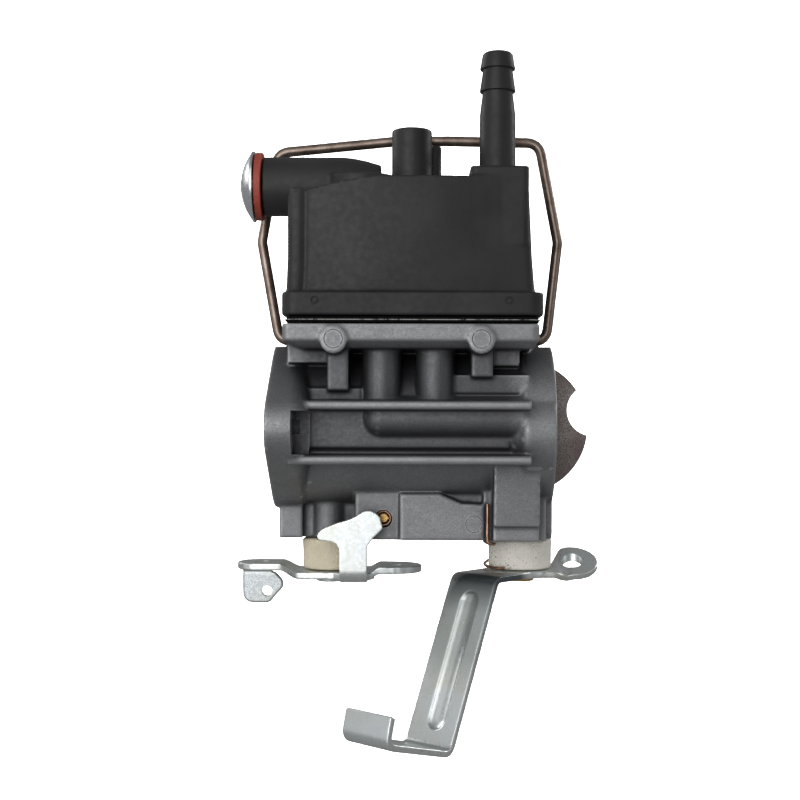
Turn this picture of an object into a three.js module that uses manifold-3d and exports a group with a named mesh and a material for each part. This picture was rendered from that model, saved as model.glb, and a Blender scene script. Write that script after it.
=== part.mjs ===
// Float-bowl carburetor for a small engine, drawn bowl-up in millimetres.
// X runs along the bore from the engine flange (X = 0) to the air inlet, Y runs from front to back
// and +Z points to the float bowl. The origin is on the bore axis at the engine flange's face.
import * as THREE from "three";
import { mergeVertices } from "three/addons/utils/BufferGeometryUtils.js";
import Module from "manifold-3d";

const wasm = await Module();
wasm.setup();

// ---------------------------------------------------------------- driving dimensions
const GAP = 0.3; // between pieces that touch on the real object
const RUNNING = 0.08; // radial clearance of a shaft in its hole

const BODY = { length: 63.6, tubeRadius: 18, flangeTop: 18.4, bottom: -25.6 };
const BORE = { throttle: 13, venturi: 9.5, choke: 16.1, chokeStart: 40, throat: 30 };
const ENGINE = { thick: 5.7, radius: 19, lobeRadius: 7, boltY: 21.3, boltRadius: 3.3 };
const INLET = { inner: 56.6, radius: 19.2, lobeY: 21, lobeLow: -8.5, lobeHigh: 6.5 };
const DECK = { x: [3.4, 59.3], y: 24, z: [18.8, 22.5] };
const RAIL = { z: [4.8, -7.1], thick: 2, reach: 23.6 };
const PASSAGE = { x: 24.9, y: 15.5, z: 2, radius: 4.9 };
const COLUMN = { radius: 4.3, foot: 3 };
const BOSS = { x: [14.6, 46.6], radius: 2.9, reach: 24.6 };
const GASKET = { z: [22.8, 24] };
const BOWL = { rimX: [3.2, 60.2], rimY: 24, z: [24.3, 29.4, 55], wallX: [4.2, 58.3], wallY: 22, wall: 2.4 };
const FUEL = { x: 50.6, y: -14, bore: 1.3 };
const PLUG = { y: -6.5, z: 54.9, boss: 6.7, face: -2.2, thread: 3.2, depth: 9 };
const TOWER = { x: 31.3, y: 0, radius: 4.6, top: 46, bore: 2.5 };
const PILOT = { x: 36.8, y: -15.5 };
const SEAT = { x: 46.6, y: 0 };
const PIN = { x: 53, z: 31, radius: 1 };
const THROTTLE = { x: 12.7, plate: 12.6, shaft: 2.4, foam: 6.6 };
const CHOKE = { x: 57, plate: 15.6, shaft: 2.4, foam: 7.5 };
const FOAM = { top: -25.95 };
const LEVER = { thick: 1.6 };
const THROTTLE_LEVER = { left: -31.2, centre: -33.3, right: -32 };
const CHOKE_LEVER = { top: -33.1, tilt: 0.46 };
const BAIL = { y: 3.5, z: 20.2, radius: 1.2 };
const DETENT = { radius: 0.35 };
const WELCH = { x: 38.5, z: -20 };
const IDLE = { x: 25.2, z: -20.8, hole: 2.05, front: -10.5 };

// ---------------------------------------------------------------- solids and how they join
function solid(geometry) {
  const loose = geometry.index ? geometry.toNonIndexed() : geometry;
  const bare = new THREE.BufferGeometry().setAttribute("position", loose.getAttribute("position"));
  const merged = mergeVertices(bare, 1e-4);
  const mesh = new wasm.Mesh({
    numProp: 3,
    vertProperties: merged.attributes.position.array,
    triVerts: new Uint32Array(merged.index.array),
  });
  return new wasm.Manifold(mesh);
}

function geometryOf(made) {
  const mesh = made.getMesh();
  const geometry = new THREE.BufferGeometry();
  geometry.setAttribute("position", new THREE.BufferAttribute(mesh.vertProperties, mesh.numProp));
  geometry.setIndex(new THREE.BufferAttribute(mesh.triVerts, 1));
  geometry.computeVertexNormals();
  return geometry;
}

const join = (first, ...rest) => rest.reduce((made, next) => made.add(next), first);
const cut = (first, ...tools) => tools.reduce((made, tool) => made.subtract(tool), first);

function block([x0, x1], [y0, y1], [z0, z1]) {
  const box = new THREE.BoxGeometry(x1 - x0, y1 - y0, z1 - z0);
  return solid(box.translate((x0 + x1) / 2, (y0 + y1) / 2, (z0 + z1) / 2));
}

// A cylinder or cone along one axis, centred on the other two coordinates in their own order.
function rod(axis, radius, [from, to], [a, b], sides = 32, endRadius = radius) {
  const shape = new THREE.CylinderGeometry(endRadius, radius, to - from, sides);
  const middle = (from + to) / 2;
  if (axis === "x") return solid(shape.rotateZ(-Math.PI / 2).translate(middle, a, b));
  if (axis === "y") return solid(shape.translate(a, middle, b));
  return solid(shape.rotateX(Math.PI / 2).translate(a, b, middle));
}

// A straight bar between two points.
function bar(from, to, radius, sides = 12) {
  const start = new THREE.Vector3(...from);
  const along = new THREE.Vector3(...to).sub(start);
  const turn = new THREE.Quaternion().setFromUnitVectors(
    new THREE.Vector3(0, 1, 0),
    along.clone().normalize(),
  );
  const shape = new THREE.CylinderGeometry(radius, radius, along.length(), sides);
  const middle = start.addScaledVector(along, 0.5);
  return solid(shape.applyQuaternion(turn).translate(middle.x, middle.y, middle.z));
}

const AXES = {
  xy: new THREE.Matrix4(),
  xz: new THREE.Matrix4().makeRotationX(Math.PI / 2),
  yz: new THREE.Matrix4().set(0, 0, 1, 0, 1, 0, 0, 0, 0, 1, 0, 0, 0, 0, 0, 1),
};

// An outline drawn in one plane and extruded along the third axis.
function slab(plane, shape, [from, to], curveSegments = 2) {
  const geometry = new THREE.ExtrudeGeometry(shape, {
    depth: to - from,
    bevelEnabled: false,
    curveSegments,
  });
  geometry.translate(0, 0, plane === "xz" ? -to : from);
  return solid(geometry.applyMatrix4(AXES[plane]));
}

function outline(points) {
  return new THREE.Shape(points.map(([a, b]) => new THREE.Vector2(a, b)));
}

function roundedBox([a0, a1], [b0, b1], radius) {
  const shape = new THREE.Shape();
  const corners = [
    [a1 - radius, b0 + radius, -0.5],
    [a1 - radius, b1 - radius, 0],
    [a0 + radius, b1 - radius, 0.5],
    [a0 + radius, b0 + radius, 1],
  ];
  for (const [a, b, turn] of corners) {
    shape.absarc(a, b, radius, turn * Math.PI, (turn + 0.5) * Math.PI, false);
  }
  return shape;
}

// A round profile, given as [radius, height] points that start and end on the axis.
function turned(points, sides = 32) {
  return new THREE.LatheGeometry(points.map(([r, h]) => new THREE.Vector2(r, h)), sides);
}

function alongZ(geometry, x, y) {
  return solid(geometry.rotateX(Math.PI / 2).translate(x, y, 0));
}

function wire(points, radius, steps, sides = 10) {
  const path = new THREE.CatmullRomCurve3(points.map((p) => new THREE.Vector3(...p)), false, "centripetal");
  const section = new THREE.Shape().absarc(0, 0, radius, 0, 2 * Math.PI, false);
  return solid(
    new THREE.ExtrudeGeometry(section, { extrudePath: path, steps, curveSegments: sides / 2 }),
  );
}

// A flat strip along X that may rise, drop and twist: each station gives x, front y, back y,
// the height of its top face on the centre line, and its twist about X.
function ribbon(stations, thick) {
  const position = [];
  for (const { x, front, back, top, twist = 0 } of stations) {
    const middle = (front + back) / 2;
    const across = [Math.cos(twist), Math.sin(twist)];
    for (const [y, drop] of [[front, thick], [back, thick], [back, 0], [front, 0]]) {
      const off = y - middle;
      const y3 = middle + off * across[0] + drop * across[1];
      const z3 = top + off * across[1] - drop * across[0];
      position.push(x, y3, z3);
    }
  }
  const index = [0, 2, 1, 0, 3, 2];
  const last = (stations.length - 1) * 4;
  index.push(last, last + 1, last + 2, last, last + 2, last + 3);
  for (let s = 0; s < stations.length - 1; s++) {
    for (let c = 0; c < 4; c++) {
      const a = s * 4 + c;
      const b = s * 4 + ((c + 1) % 4);
      index.push(a, b, b + 4, a, b + 4, a + 4);
    }
  }
  const geometry = new THREE.BufferGeometry();
  geometry.setAttribute("position", new THREE.Float32BufferAttribute(position, 3));
  return solid(geometry.setIndex(index));
}

// ---------------------------------------------------------------- throttle body casting
function engineFlange() {
  const { radius, lobeRadius, boltY, thick, boltRadius } = ENGINE;
  const lean = Math.asin((radius - lobeRadius) / boltY);
  const top = Math.PI / 2;
  const shape = new THREE.Shape();
  shape.absarc(boltY, 0, lobeRadius, -top + lean, top - lean, false);
  shape.absarc(0, 0, radius, top - lean, top + lean, false);
  shape.absarc(-boltY, 0, lobeRadius, top + lean, 3 * top - lean, false);
  shape.absarc(0, 0, radius, 3 * top - lean, 3 * top + lean, false);
  const bolts = [-boltY, boltY].map((y) => rod("x", boltRadius, [-1, thick + 1], [y, 0], 24));
  return cut(slab("yz", shape, [0, thick], 5), ...bolts);
}

function inletFlange() {
  const { inner, radius, lobeY, lobeLow, lobeHigh } = INLET;
  const lobes = roundedBox([-lobeY, lobeY], [lobeLow, lobeHigh], 3);
  const foot = roundedBox([-9, 9], [BODY.bottom, -10], 2);
  return join(
    rod("x", radius, [inner, BODY.length], [0, 0], 48),
    slab("yz", lobes, [inner, BODY.length - 0.2]),
    slab("yz", foot, [inner, BODY.length]),
  );
}

// One side of the casting between the flanges; side is -1 at the front and 1 at the back.
function sideDetail(side) {
  const span = (near, far) => (side < 0 ? [-far, -near] : [near, far]);
  const rails = RAIL.z.map((z) => {
    const profile = roundedBox(span(14, RAIL.reach), [z - RAIL.thick / 2, z + RAIL.thick / 2], 0.8);
    return slab("yz", profile, [ENGINE.thick - 1, INLET.inner + 1], 1);
  });
  const columns = [PASSAGE.x, PILOT.x].map((x) => {
    const foot = x === PASSAGE.x ? PASSAGE.z : COLUMN.foot;
    return rod("z", COLUMN.radius, [foot, 19.5], [x, side * PASSAGE.y], 18);
  });
  const elbow = new THREE.SphereGeometry(PASSAGE.radius - 0.02, 12, 8);
  return [
    ...rails,
    ...columns,
    rod("x", PASSAGE.radius, [PASSAGE.x, INLET.inner], [side * PASSAGE.y, PASSAGE.z], 18),
    solid(elbow.translate(PASSAGE.x, side * PASSAGE.y, PASSAGE.z)),
    block([8.4, 53.1], span(12, 18.2), [-4.7, 4.5]),
    block([4, 20.3], span(10, 17.4), [6, 8.7]),
    block([41, INLET.inner + 1], span(8, 17), [7.6, 11.6]),
    block([13, 17.7], span(8, 20), [8, 19]),
    block([44.6, 49.4], span(8, 19.6), [11, 19]),
    block([49.3, 55.4], span(8, 17.2), [13.6, 19]),
    block([4, 13.2], span(8, 16.4), [14.2, 19]),
  ];
}

function deck() {
  const { x, y, z } = DECK;
  return join(
    slab("xy", roundedBox(x, [-y, y], 2.5), z),
    block([x[0] + 1.5, x[1] - 1.5], [-y + 1.8, y - 1.8], [z[0] - 1.5, z[0] + 0.5]),
  );
}

function lowerBosses() {
  const low = BODY.bottom;
  const sloped = outline([
    [28.9, low], [47.9, low], [47.9, -17.4], [43, -17.2], [38, -15], [28.9, -15],
  ]);
  const column = outline([[-16.2, -7.5], [-14.4, -22.2], [11, -22.2], [11, -7.5]]);
  return [
    block([1.2, 6.6], [-6, 6], [low, -15]),
    rod("z", 5.2, [low, -14], [THROTTLE.x, 0], 32),
    block([THROTTLE.x, 30], [-4, 9], [low, -12]),
    block([18.8, 29], [IDLE.front, 8], [low, -12]),
    slab("xz", sloped, [IDLE.front - 1, 9]),
    block([4, THROTTLE.x], [-4.2, 5], [low, -14]),
    slab("yz", column, [49.9, 60.2]),
    block([49.9, 60.2], [-13.4, 11], [low, -20]),
    block([47.8, 62], [-11, 9], [low, -9]),
    rod("z", 6.5, [low, -18], [CHOKE.x, 0], 36),
    rod("z", 4.6, [14, 19], [CHOKE.x, 0], 24),
    rod("z", 4.6, [14, 19], [THROTTLE.x, 0], 24),
  ];
}

function boreTool() {
  const { throttle, venturi, choke, chokeStart, throat } = BORE;
  const profile = [
    [0, -1], [throttle, -1], [throttle, 20], [venturi + 0.6, 26], [venturi, throat],
    [venturi + 1.2, 33], [choke - 1.2, chokeStart - 1], [choke, chokeStart], [choke, 65], [0, 65],
  ];
  return solid(turned(profile, 40).rotateZ(-Math.PI / 2));
}

function castingHoles() {
  const clear = RUNNING + 0.02;
  return [
    boreTool(),
    rod("z", THROTTLE.shaft + clear, [-40, 17.2], [THROTTLE.x, 0], 32),
    rod("z", CHOKE.shaft + clear, [-40, 18.2], [CHOKE.x, 0], 32),
    rod("z", TOWER.bore, [5, 60], [TOWER.x, TOWER.y], 24),
    rod("z", 1.6, [8, 30], [PILOT.x, PILOT.y], 16),
    rod("z", 3.3, [19.6, 30], [SEAT.x, SEAT.y], 24),
    rod("z", FUEL.bore, [20.2, 30], [FUEL.x, FUEL.y], 16),
    bar([FUEL.x, FUEL.y, 20.4], [SEAT.x, SEAT.y, 20.4], 1.1),
    rod("x", BAIL.radius + 0.1, [0, 8], [BAIL.y, BAIL.z], 16),
    rod("x", BAIL.radius + 0.1, [55, 70], [BAIL.y, BAIL.z], 16),
    rod("y", IDLE.hole, [-20, -2.5], [IDLE.x, IDLE.z], 24),
    rod("y", 4.3, [9.9, 20], [WELCH.x, WELCH.z], 24),
    rod("y", PIN.radius + 0.1, [-20, 20], [PIN.x, PIN.z], 16),
  ];
}

function throttleBody() {
  const post = (y0, y1) => block([51.2, 54.8], [y0, y1], [DECK.z[1] - 1, PIN.z + 2.2]);
  const rough = join(
    rod("x", BODY.tubeRadius, [1, BODY.length - 1], [0, 0], 48),
    engineFlange(),
    inletFlange(),
    ...sideDetail(-1),
    ...sideDetail(1),
    ...lowerBosses(),
    block([WELCH.x - 5.5, WELCH.x + 5.5], [6, 11.5], [BODY.bottom, -14.5]),
  );
  const level = block([-5, 70], [-40, 40], [BODY.flangeTop, 40]);
  return cut(
    join(
      cut(rough, level),
      deck(),
      ...BOSS.x.map((x) => rod("y", BOSS.radius, [-BOSS.reach, BOSS.reach], [x, DECK.z[0] + 0.1], 20)),
      rod("z", TOWER.radius, [18, TOWER.top], [TOWER.x, TOWER.y], 28),
      post(-7, -5),
      post(5, 7),
    ),
    ...castingHoles(),
  );
}

// ---------------------------------------------------------------- float bowl and its seals
// The bowl's wall seen from above: nearly flat ends and a front and back that bulge outwards.
function wallOutline(inset) {
  const [left, right] = BOWL.wallX;
  const side = BOWL.wallY - inset - 1.6;
  const shape = new THREE.Shape();
  shape.moveTo(left + inset, -side + 3);
  shape.quadraticCurveTo(left + inset, -side + 0.2, left + inset + 3.2, -side);
  shape.bezierCurveTo(left + 12, -side - 1.9, left + 26, -side - 2.1, right - 12, -side - 0.7);
  shape.lineTo(right - inset - 2, -side);
  shape.quadraticCurveTo(right - inset, -side, right - inset, -side + 2.5);
  shape.lineTo(right - inset, side - 2.5);
  shape.quadraticCurveTo(right - inset, side, right - inset - 2, side);
  shape.lineTo(right - 12, side + 0.7);
  shape.bezierCurveTo(left + 26, side + 2.1, left + 12, side + 1.9, left + inset + 3.2, side);
  shape.quadraticCurveTo(left + inset, side - 0.2, left + inset, side - 3);
  return shape;
}

// The roof falls away towards the plug boss.
function roofProfile(drop, low) {
  const top = BOWL.z[2] - drop;
  return outline([
    [0, low], [65, low], [65, top], [27, top], [20, top - 0.7], [13, top - 2.3], [8, top - 4.2],
    [0, top - 5.6],
  ]);
}

function bowlShell(inset, drop, low) {
  const walls = slab("xy", wallOutline(inset), [low, BOWL.z[2]], 6);
  return walls.intersect(slab("xz", roofProfile(drop, low), [-30, 30]));
}

function fuelBarb() {
  const profile = [
    [0, 54], [4, 54], [4, 70.2], [3.4, 74.6], [4, 74.9], [3.35, 79.5], [3.9, 79.9], [3.25, 84.1],
    [0, 84.1],
  ];
  return alongZ(turned(profile, 28), FUEL.x, FUEL.y);
}

function bowlTop() {
  return [
    rod("x", PLUG.boss, [PLUG.face, 16], [PLUG.y, PLUG.z], 32),
    rod("x", PLUG.boss, [16, 24.5], [PLUG.y, PLUG.z], 32, PLUG.boss - 1.8),
    rod("z", 8, [50, 56.6], [20, -9], 32),
    slab("xy", roundedBox([44.1, 57.2], [-20.6, -7], 1.5), [40, 57.2]),
    rod("z", 4.4, [50, 68.8], [TOWER.x, -3.2], 28),
    slab("xy", roundedBox([27.8, 37.8], [-2, 7.2], 1.2), [50, 66]),
    fuelBarb(),
  ];
}

function floatBowl() {
  const [rimLow, rimHigh] = BOWL.z;
  const rim = slab("xy", roundedBox(BOWL.rimX, [-BOWL.rimY, BOWL.rimY], 3), [rimLow, rimHigh]);
  const cavity = bowlShell(BOWL.wall, BOWL.wall, rimLow - 1);
  const shell = join(rim, bowlShell(0, 0, rimLow), ...bowlTop());
  const fuelColumn = rod("z", 3.2, [rimLow, 54], [FUEL.x, FUEL.y], 24);
  return cut(
    join(cut(shell, cavity), fuelColumn),
    rod("z", FUEL.bore, [rimLow - 1, 90], [FUEL.x, FUEL.y], 16),
    rod("x", PLUG.thread + GAP, [PLUG.face - 1, PLUG.face + PLUG.depth], [PLUG.y, PLUG.z], 24),
  );
}

function bowlGasket() {
  const frame = slab("xy", roundedBox([3.8, 59.6], [-23.7, 23.7], 2.8), GASKET.z);
  const window = slab("xy", roundedBox([7.6, 55.4], [-19, 19], 3), [20, 30]);
  const pad = rod("z", 4.2, GASKET.z, [FUEL.x, FUEL.y], 20);
  const bridge = block([FUEL.x - 4.2, 56.5], [-20, FUEL.y + 4.2], GASKET.z);
  return cut(join(cut(frame, window), pad, bridge), rod("z", 1.6, [20, 30], [FUEL.x, FUEL.y], 16));
}

function plugWasher() {
  const x = [PLUG.face - 1.9, PLUG.face - GAP];
  const ring = rod("x", 7.7, x, [PLUG.y, PLUG.z], 36);
  return cut(ring, rod("x", PLUG.thread + GAP, [-10, 5], [PLUG.y, PLUG.z], 24));
}

function plugScrew() {
  const seat = -(PLUG.face - 1.9 - GAP);
  const dome = [[8.05, 0.7], [7.2, 1.7], [5.4, 2.6], [3, 3.1]];
  const thread = [[0, -seat - 5.6], [PLUG.thread, -seat - 5.6], [PLUG.thread, 0]];
  const profile = [...thread, [8.05, 0], ...dome, [0, 3.25]];
  const shape = turned(profile, 32).rotateZ(Math.PI / 2);
  return solid(shape.translate(-seat, PLUG.y, PLUG.z));
}

// ---------------------------------------------------------------- fuel metering
function mainNozzle() {
  const tube = rod("z", TOWER.bore - GAP, [6.2, 39.5], [TOWER.x, TOWER.y], 20);
  return cut(tube, rod("z", 0.9, [5, 45], [TOWER.x, TOWER.y], 12));
}

function mainJet() {
  const { x, y } = TOWER;
  const shank = rod("z", TOWER.bore - GAP, [39.8, 46.2], [x, y], 20);
  const neck = rod("z", 2, [46, 46.5], [x, y], 20);
  const head = rod("z", 3.4, [46.3, 47.6], [x, y], 20);
  return cut(
    join(shank, neck, head),
    rod("z", 0.6, [30, 50], [x, y], 12),
    block([x - 4, x + 4], [y - 0.4, y + 0.4], [46.9, 50]),
  );
}

function pilotJet() {
  const { x, y } = PILOT;
  const made = join(rod("z", 1.3, [10, 23], [x, y], 16), rod("z", 2.1, [22.8, 24.4], [x, y], 20));
  const slot = block([x - 3, x + 3], [y - 0.35, y + 0.35], [23.6, 26]);
  return cut(made, rod("z", 0.4, [5, 30], [x, y], 10), slot);
}

function needleSeat() {
  const { x, y } = SEAT;
  const made = join(rod("z", 3, [19.9, 26], [x, y], 24), rod("z", 4.2, [22.8, 24.2], [x, y], 6));
  return cut(made, rod("z", 1.6, [10, 30], [x, y], 20));
}

function inletNeedle() {
  const tip = [[0, 23.4], [0.5, 23.9], [1.2, 25], [1.2, 26.5]];
  const profile = [...tip, [1.9, 27], [1.9, 30], [0.8, 30.4], [0.8, 31.1], [0, 31.1]];
  return alongZ(turned(profile, 16), SEAT.x, SEAT.y);
}

function float() {
  const body = slab("xy", roundedBox([13, 42.4], [-14.4, 14.4], 3), [32.5, 41.5]);
  const arm = block([40, PIN.x], [-4.4, 4.4], [31.4, 33.4]);
  const barrel = rod("y", 2.2, [-4.4, 4.4], [PIN.x, PIN.z], 20);
  return cut(
    join(body, arm, barrel),
    rod("z", 8, [20, 50], [TOWER.x, TOWER.y], 32),
    rod("y", PIN.radius + 0.1, [-9, 9], [PIN.x, PIN.z], 16),
  );
}

// ---------------------------------------------------------------- shafts, plates and seals
// A shaft with a neck and a peened head that hold a lever; bottom is the lever's underside.
function shaftBlank(spec, top, bottom) {
  const profile = [
    [0, bottom - 1.2], [spec.shaft + 0.7, bottom - 1.2], [spec.shaft + 0.9, bottom - 0.5],
    [spec.shaft + 0.6, bottom - GAP], [spec.shaft - 0.4, bottom - GAP], [spec.shaft - 0.4, bottom + 2.1],
    [spec.shaft, bottom + 2.1], [spec.shaft, top], [0, top],
  ];
  return alongZ(turned(profile, 32), spec.x, 0);
}

function throttleShaft() {
  const made = shaftBlank(THROTTLE, 16.9, THROTTLE_LEVER.centre - LEVER.thick);
  const reach = BORE.throttle - 0.2;
  const flat = block([THROTTLE.x - 4, THROTTLE.x - 0.2], [-5, 5], [-reach, reach]);
  return cut(made, flat, rod("x", 1.05, [0, 30], [0, 0], 12));
}

function throttlePlate() {
  const x = THROTTLE.x - 0.2 - GAP;
  const disc = rod("x", THROTTLE.plate, [x - 1, x], [0, 0], 48);
  return cut(disc, rod("x", 1.2, [0, 30], [0, 0], 12));
}

function chokeShaft() {
  const made = shaftBlank(CHOKE, 17.9, CHOKE_LEVER.top - LEVER.thick);
  const reach = BORE.choke - 0.2;
  const flat = block([CHOKE.x - 5, CHOKE.x + 5], [-4, -0.2], [-reach, reach]);
  return cut(made, flat, rod("y", 1.05, [-9, 9], [CHOKE.x, 0], 12));
}

// The choke plate carries a round bite in its inlet edge, so that some air always passes.
function chokePlate() {
  const y = -0.2 - GAP;
  const disc = rod("y", CHOKE.plate, [y - 1, y], [CHOKE.x, 0], 56);
  return cut(disc, rod("y", 1.2, [-9, 9], [CHOKE.x, 0], 12), rod("y", 6, [-9, 9], [73.8, 3.9], 32));
}

// A short screw: a round head on the plate's face and a shank through the shaft.
function plateScrew(shank) {
  return turned(
    [[0, -shank], [0.8, -shank], [0.8, GAP], [1.9, GAP], [1.9, 0.9], [1.2, 1.4], [0, 1.5]],
    16,
  );
}

const throttleScrew = () => solid(plateScrew(3.2).rotateZ(Math.PI / 2).translate(THROTTLE.x - 1.5, 0, 0));
const chokeScrew = () => solid(plateScrew(3).rotateX(Math.PI).translate(CHOKE.x, -1.5, 0));

function foamSeal(spec, bottom) {
  const ring = rod("z", spec.foam, [bottom, FOAM.top], [spec.x, 0], 32, spec.foam - 0.2);
  return cut(ring, rod("z", spec.shaft + 0.5, [-50, 0], [spec.x, 0], 24));
}

// ---------------------------------------------------------------- levers
const leverHole = (x, y, radius, sides = 16) => rod("z", radius, [-60, -20], [x, y], sides);

// Stations of a round strip end; half-widths follow a circle.
function roundEnd(tipX, rootX, front, back, top, twist = 0) {
  const middle = (front + back) / 2;
  const half = (back - front) / 2;
  return [0.02, 0.12, 0.3, 0.55, 1].map((share) => {
    const reach = half * Math.sqrt(1 - (1 - share) ** 2);
    return { x: tipX + (rootX - tipX) * share, front: middle - reach, back: middle + reach, top, twist };
  });
}

function stopTab() {
  const tee = outline([
    [15.6, -34], [15.5, -27.4], [13.8, -25.8], [11, -25.6], [10.7, -24.5], [11, -23.4], [16.7, -20.9],
    [18.3, -20.5], [21.2, -18.9], [22.7, -18.9], [24.3, -20.2], [25, -21.6], [24.6, -23.1], [22.7, -25.1],
    [21.8, -26.3], [21.6, -28.3], [21.6, -34],
  ]);
  return slab("xz", tee, [-15.2, -13.6]);
}

function hangingTab() {
  const tab = outline([
    [-6.8, -31.6], [-6.8, -38.8], [-5.4, -40.3], [-1.2, -40.3], [-0.4, -39.6], [2.4, -37], [2.4, -35.8],
    [1.8, -34.6], [1.8, -31.6],
  ]);
  return cut(slab("xz", tab, [-7.4, -5.8]), rod("y", 1.2, [-20, 0], [-1.4, -37.6], 12));
}

function throttleLever() {
  const { left, centre, right } = THROTTLE_LEVER;
  const strip = ribbon(
    [
      ...roundEnd(-8.6, -4, -8.8, 1.6, left),
      { x: 1.8, front: -8.8, back: 1.6, top: left },
      { x: 2.6, front: -8.4, back: 2.4, top: left - 0.2 },
      { x: 5.1, front: -7.8, back: 5, top: centre + 0.15 },
      { x: 5.9, front: -7.6, back: 5.8, top: centre },
      { x: 8.8, front: -8, back: 7.6, top: centre },
      { x: 17.5, front: -8.4, back: 7.6, top: centre },
      { x: 22.3, front: -9, back: 5.6, top: centre },
      { x: 24.3, front: -8.8, back: 4.6, top: right },
      ...roundEnd(34, 28.4, -8.6, 4, right).reverse(),
    ],
    LEVER.thick,
  );
  const apron = block([9.6, 22.3], [-15.2, -6], [centre - LEVER.thick, centre]);
  const neck = join(strip, apron, stopTab(), hangingTab());
  return cut(
    neck,
    leverHole(THROTTLE.x, 0, THROTTLE.shaft - 0.1, 24),
    rod("z", 2.1, [-33.2, -20], [-2.5, -3.8], 20),
    leverHole(28.5, -3.2, 1.85),
  );
}

const ARM = { width: 13, thick: 1.5, reach: 16.4, lean: 24, length: 39, foot: 20.2, rise: 15, hook: 6.1 };

// Points of a strip's centre line with each corner replaced by an arc.
function softened(points, radius, steps = 4) {
  const made = [points[0]];
  for (let i = 1; i < points.length - 1; i++) {
    const [before, at, after] = [points[i - 1], points[i], points[i + 1]];
    const into = before.clone().sub(at).normalize();
    const out = after.clone().sub(at).normalize();
    const half = Math.acos(into.dot(out)) / 2;
    const back = radius / Math.tan(half);
    const curve = new THREE.QuadraticBezierCurve(
      at.clone().addScaledVector(into, back),
      at,
      at.clone().addScaledVector(out, back),
    );
    made.push(...curve.getPoints(steps));
  }
  return [...made, points.at(-1)];
}

// A bent strip's section: its centre line thickened to both sides.
function stripSection(points, thick) {
  const side = (sign) =>
    points.map((p, i) => {
      const along = (points[i + 1] ?? p).clone().sub(points[i - 1] ?? p).normalize();
      return new THREE.Vector2(p.x - sign * along.y * thick / 2, p.y + sign * along.x * thick / 2);
    });
  return new THREE.Shape([...side(1), ...side(-1).reverse()]);
}

// The long arm leaves the hub level, bends down, and ends in a foot and an upturned hook.
function chokeArm(top) {
  const at = (s, z, angle, length) =>
    new THREE.Vector2(s + length * Math.cos(angle), z + length * Math.sin(angle));
  const level = top - ARM.thick / 2;
  const rad = Math.PI / 180;
  const start = new THREE.Vector2(3.2, level);
  const shoulder = new THREE.Vector2(ARM.reach, level);
  const heel = at(shoulder.x, shoulder.y, (ARM.lean - 90) * rad, ARM.length);
  const toe = at(heel.x, heel.y, ARM.rise * rad, ARM.foot);
  const tip = at(toe.x, toe.y, (ARM.rise + 90) * rad, ARM.hook);
  const line = softened([start, shoulder, heel, toe, tip], 2.2);
  const geometry = new THREE.ExtrudeGeometry(stripSection(line, ARM.thick), {
    depth: ARM.width,
    bevelEnabled: false,
  });
  geometry.translate(0, 0, -ARM.width / 2).rotateX(Math.PI / 2);
  return solid(geometry.rotateZ(-132.2 * rad).translate(CHOKE.x, 0, 0));
}

function chokeLever() {
  const { top, tilt } = CHOKE_LEVER;
  const eye = ribbon(
    [
      { x: CHOKE.x - 3, front: -7, back: 7, top },
      { x: 64.7, front: -6.4, back: 5.8, top },
      { x: 65.8, front: -6.3, back: 5.7, top: top + 0.8, twist: tilt * 0.5 },
      { x: 67, front: -6.2, back: 5.6, top: top + 1.5, twist: tilt },
      ...roundEnd(75.4, 69.2, -6.2, 5.6, top + 1.9, tilt).reverse(),
    ],
    LEVER.thick,
  );
  const hub = rod("z", 8, [top - LEVER.thick, top], [CHOKE.x, 0], 32);
  return cut(
    join(hub, eye, chokeArm(top)),
    leverHole(CHOKE.x, 0, CHOKE.shaft - 0.1, 24),
    rod("z", 2.5, [-40, -20], [69.2, -0.3], 20),
  );
}

// ---------------------------------------------------------------- wires, springs and screws
function bailWire() {
  const { y, z } = BAIL;
  const path = [
    [6, z], [3.4, z], [1.9, z + 0.25], [0.7, z + 1.5], [-1.2, 27.6], [-3.7, 41.2], [-3.95, 43.6],
    [-3.7, 46], [-0.9, 61.6], [0.2, 63.9], [2.8, 65.1], [26.6, 67.4], [40, 67.6], [57, 67.4],
    [60.2, 66.9], [62.1, 65.2], [63.2, 61.8], [65.8, 46], [66.05, 43.6], [65.8, 41.2], [64.1, 24.4],
    [63.3, 21.6], [61.8, z + 0.2], [60, z], [57, z],
  ];
  return wire(path.map(([x, height]) => [x, y, height]), BAIL.radius, 64);
}

function detentSpring() {
  const path = [
    [48.7, -11.9, -17.3], [48.7, -11.9, -21.5], [48.7, -11.9, -25.4], [49.3, -11.8, -26.2],
    [50.3, -11, -26.4], [50.2, -9.6, -26.5], [49.3, -7.6, -26.6], [48.7, -3, -26.7], [48.8, 2, -26.8],
    [49.8, 5.6, -27.3], [51.2, 7.2, -28.6], [51.4, 7.4, -30.2], [50.6, 6.4, -31.6], [49.2, 3.6, -32.1],
    [48.8, 0, -32.2], [49.4, -4, -32.3], [50.9, -6.9, -32.3], [52.8, -8.2, -32.1],
  ];
  return wire(path, DETENT.radius, 60, 6);
}

function idleScrew() {
  const head = IDLE.front + 2.2;
  const profile = [[0, 0], [1.15, 0], [1.15, 2.6], [0.85, 2.8], [0.85, 4.3], [0.25, 5.4], [0, 5.5]];
  const made = solid(turned(profile, 20).translate(IDLE.x, head, IDLE.z));
  const slot = block([IDLE.x - 2, IDLE.x + 2], [head - 1, head + 0.6], [IDLE.z - 0.3, IDLE.z + 0.3]);
  return cut(made, slot);
}

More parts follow.
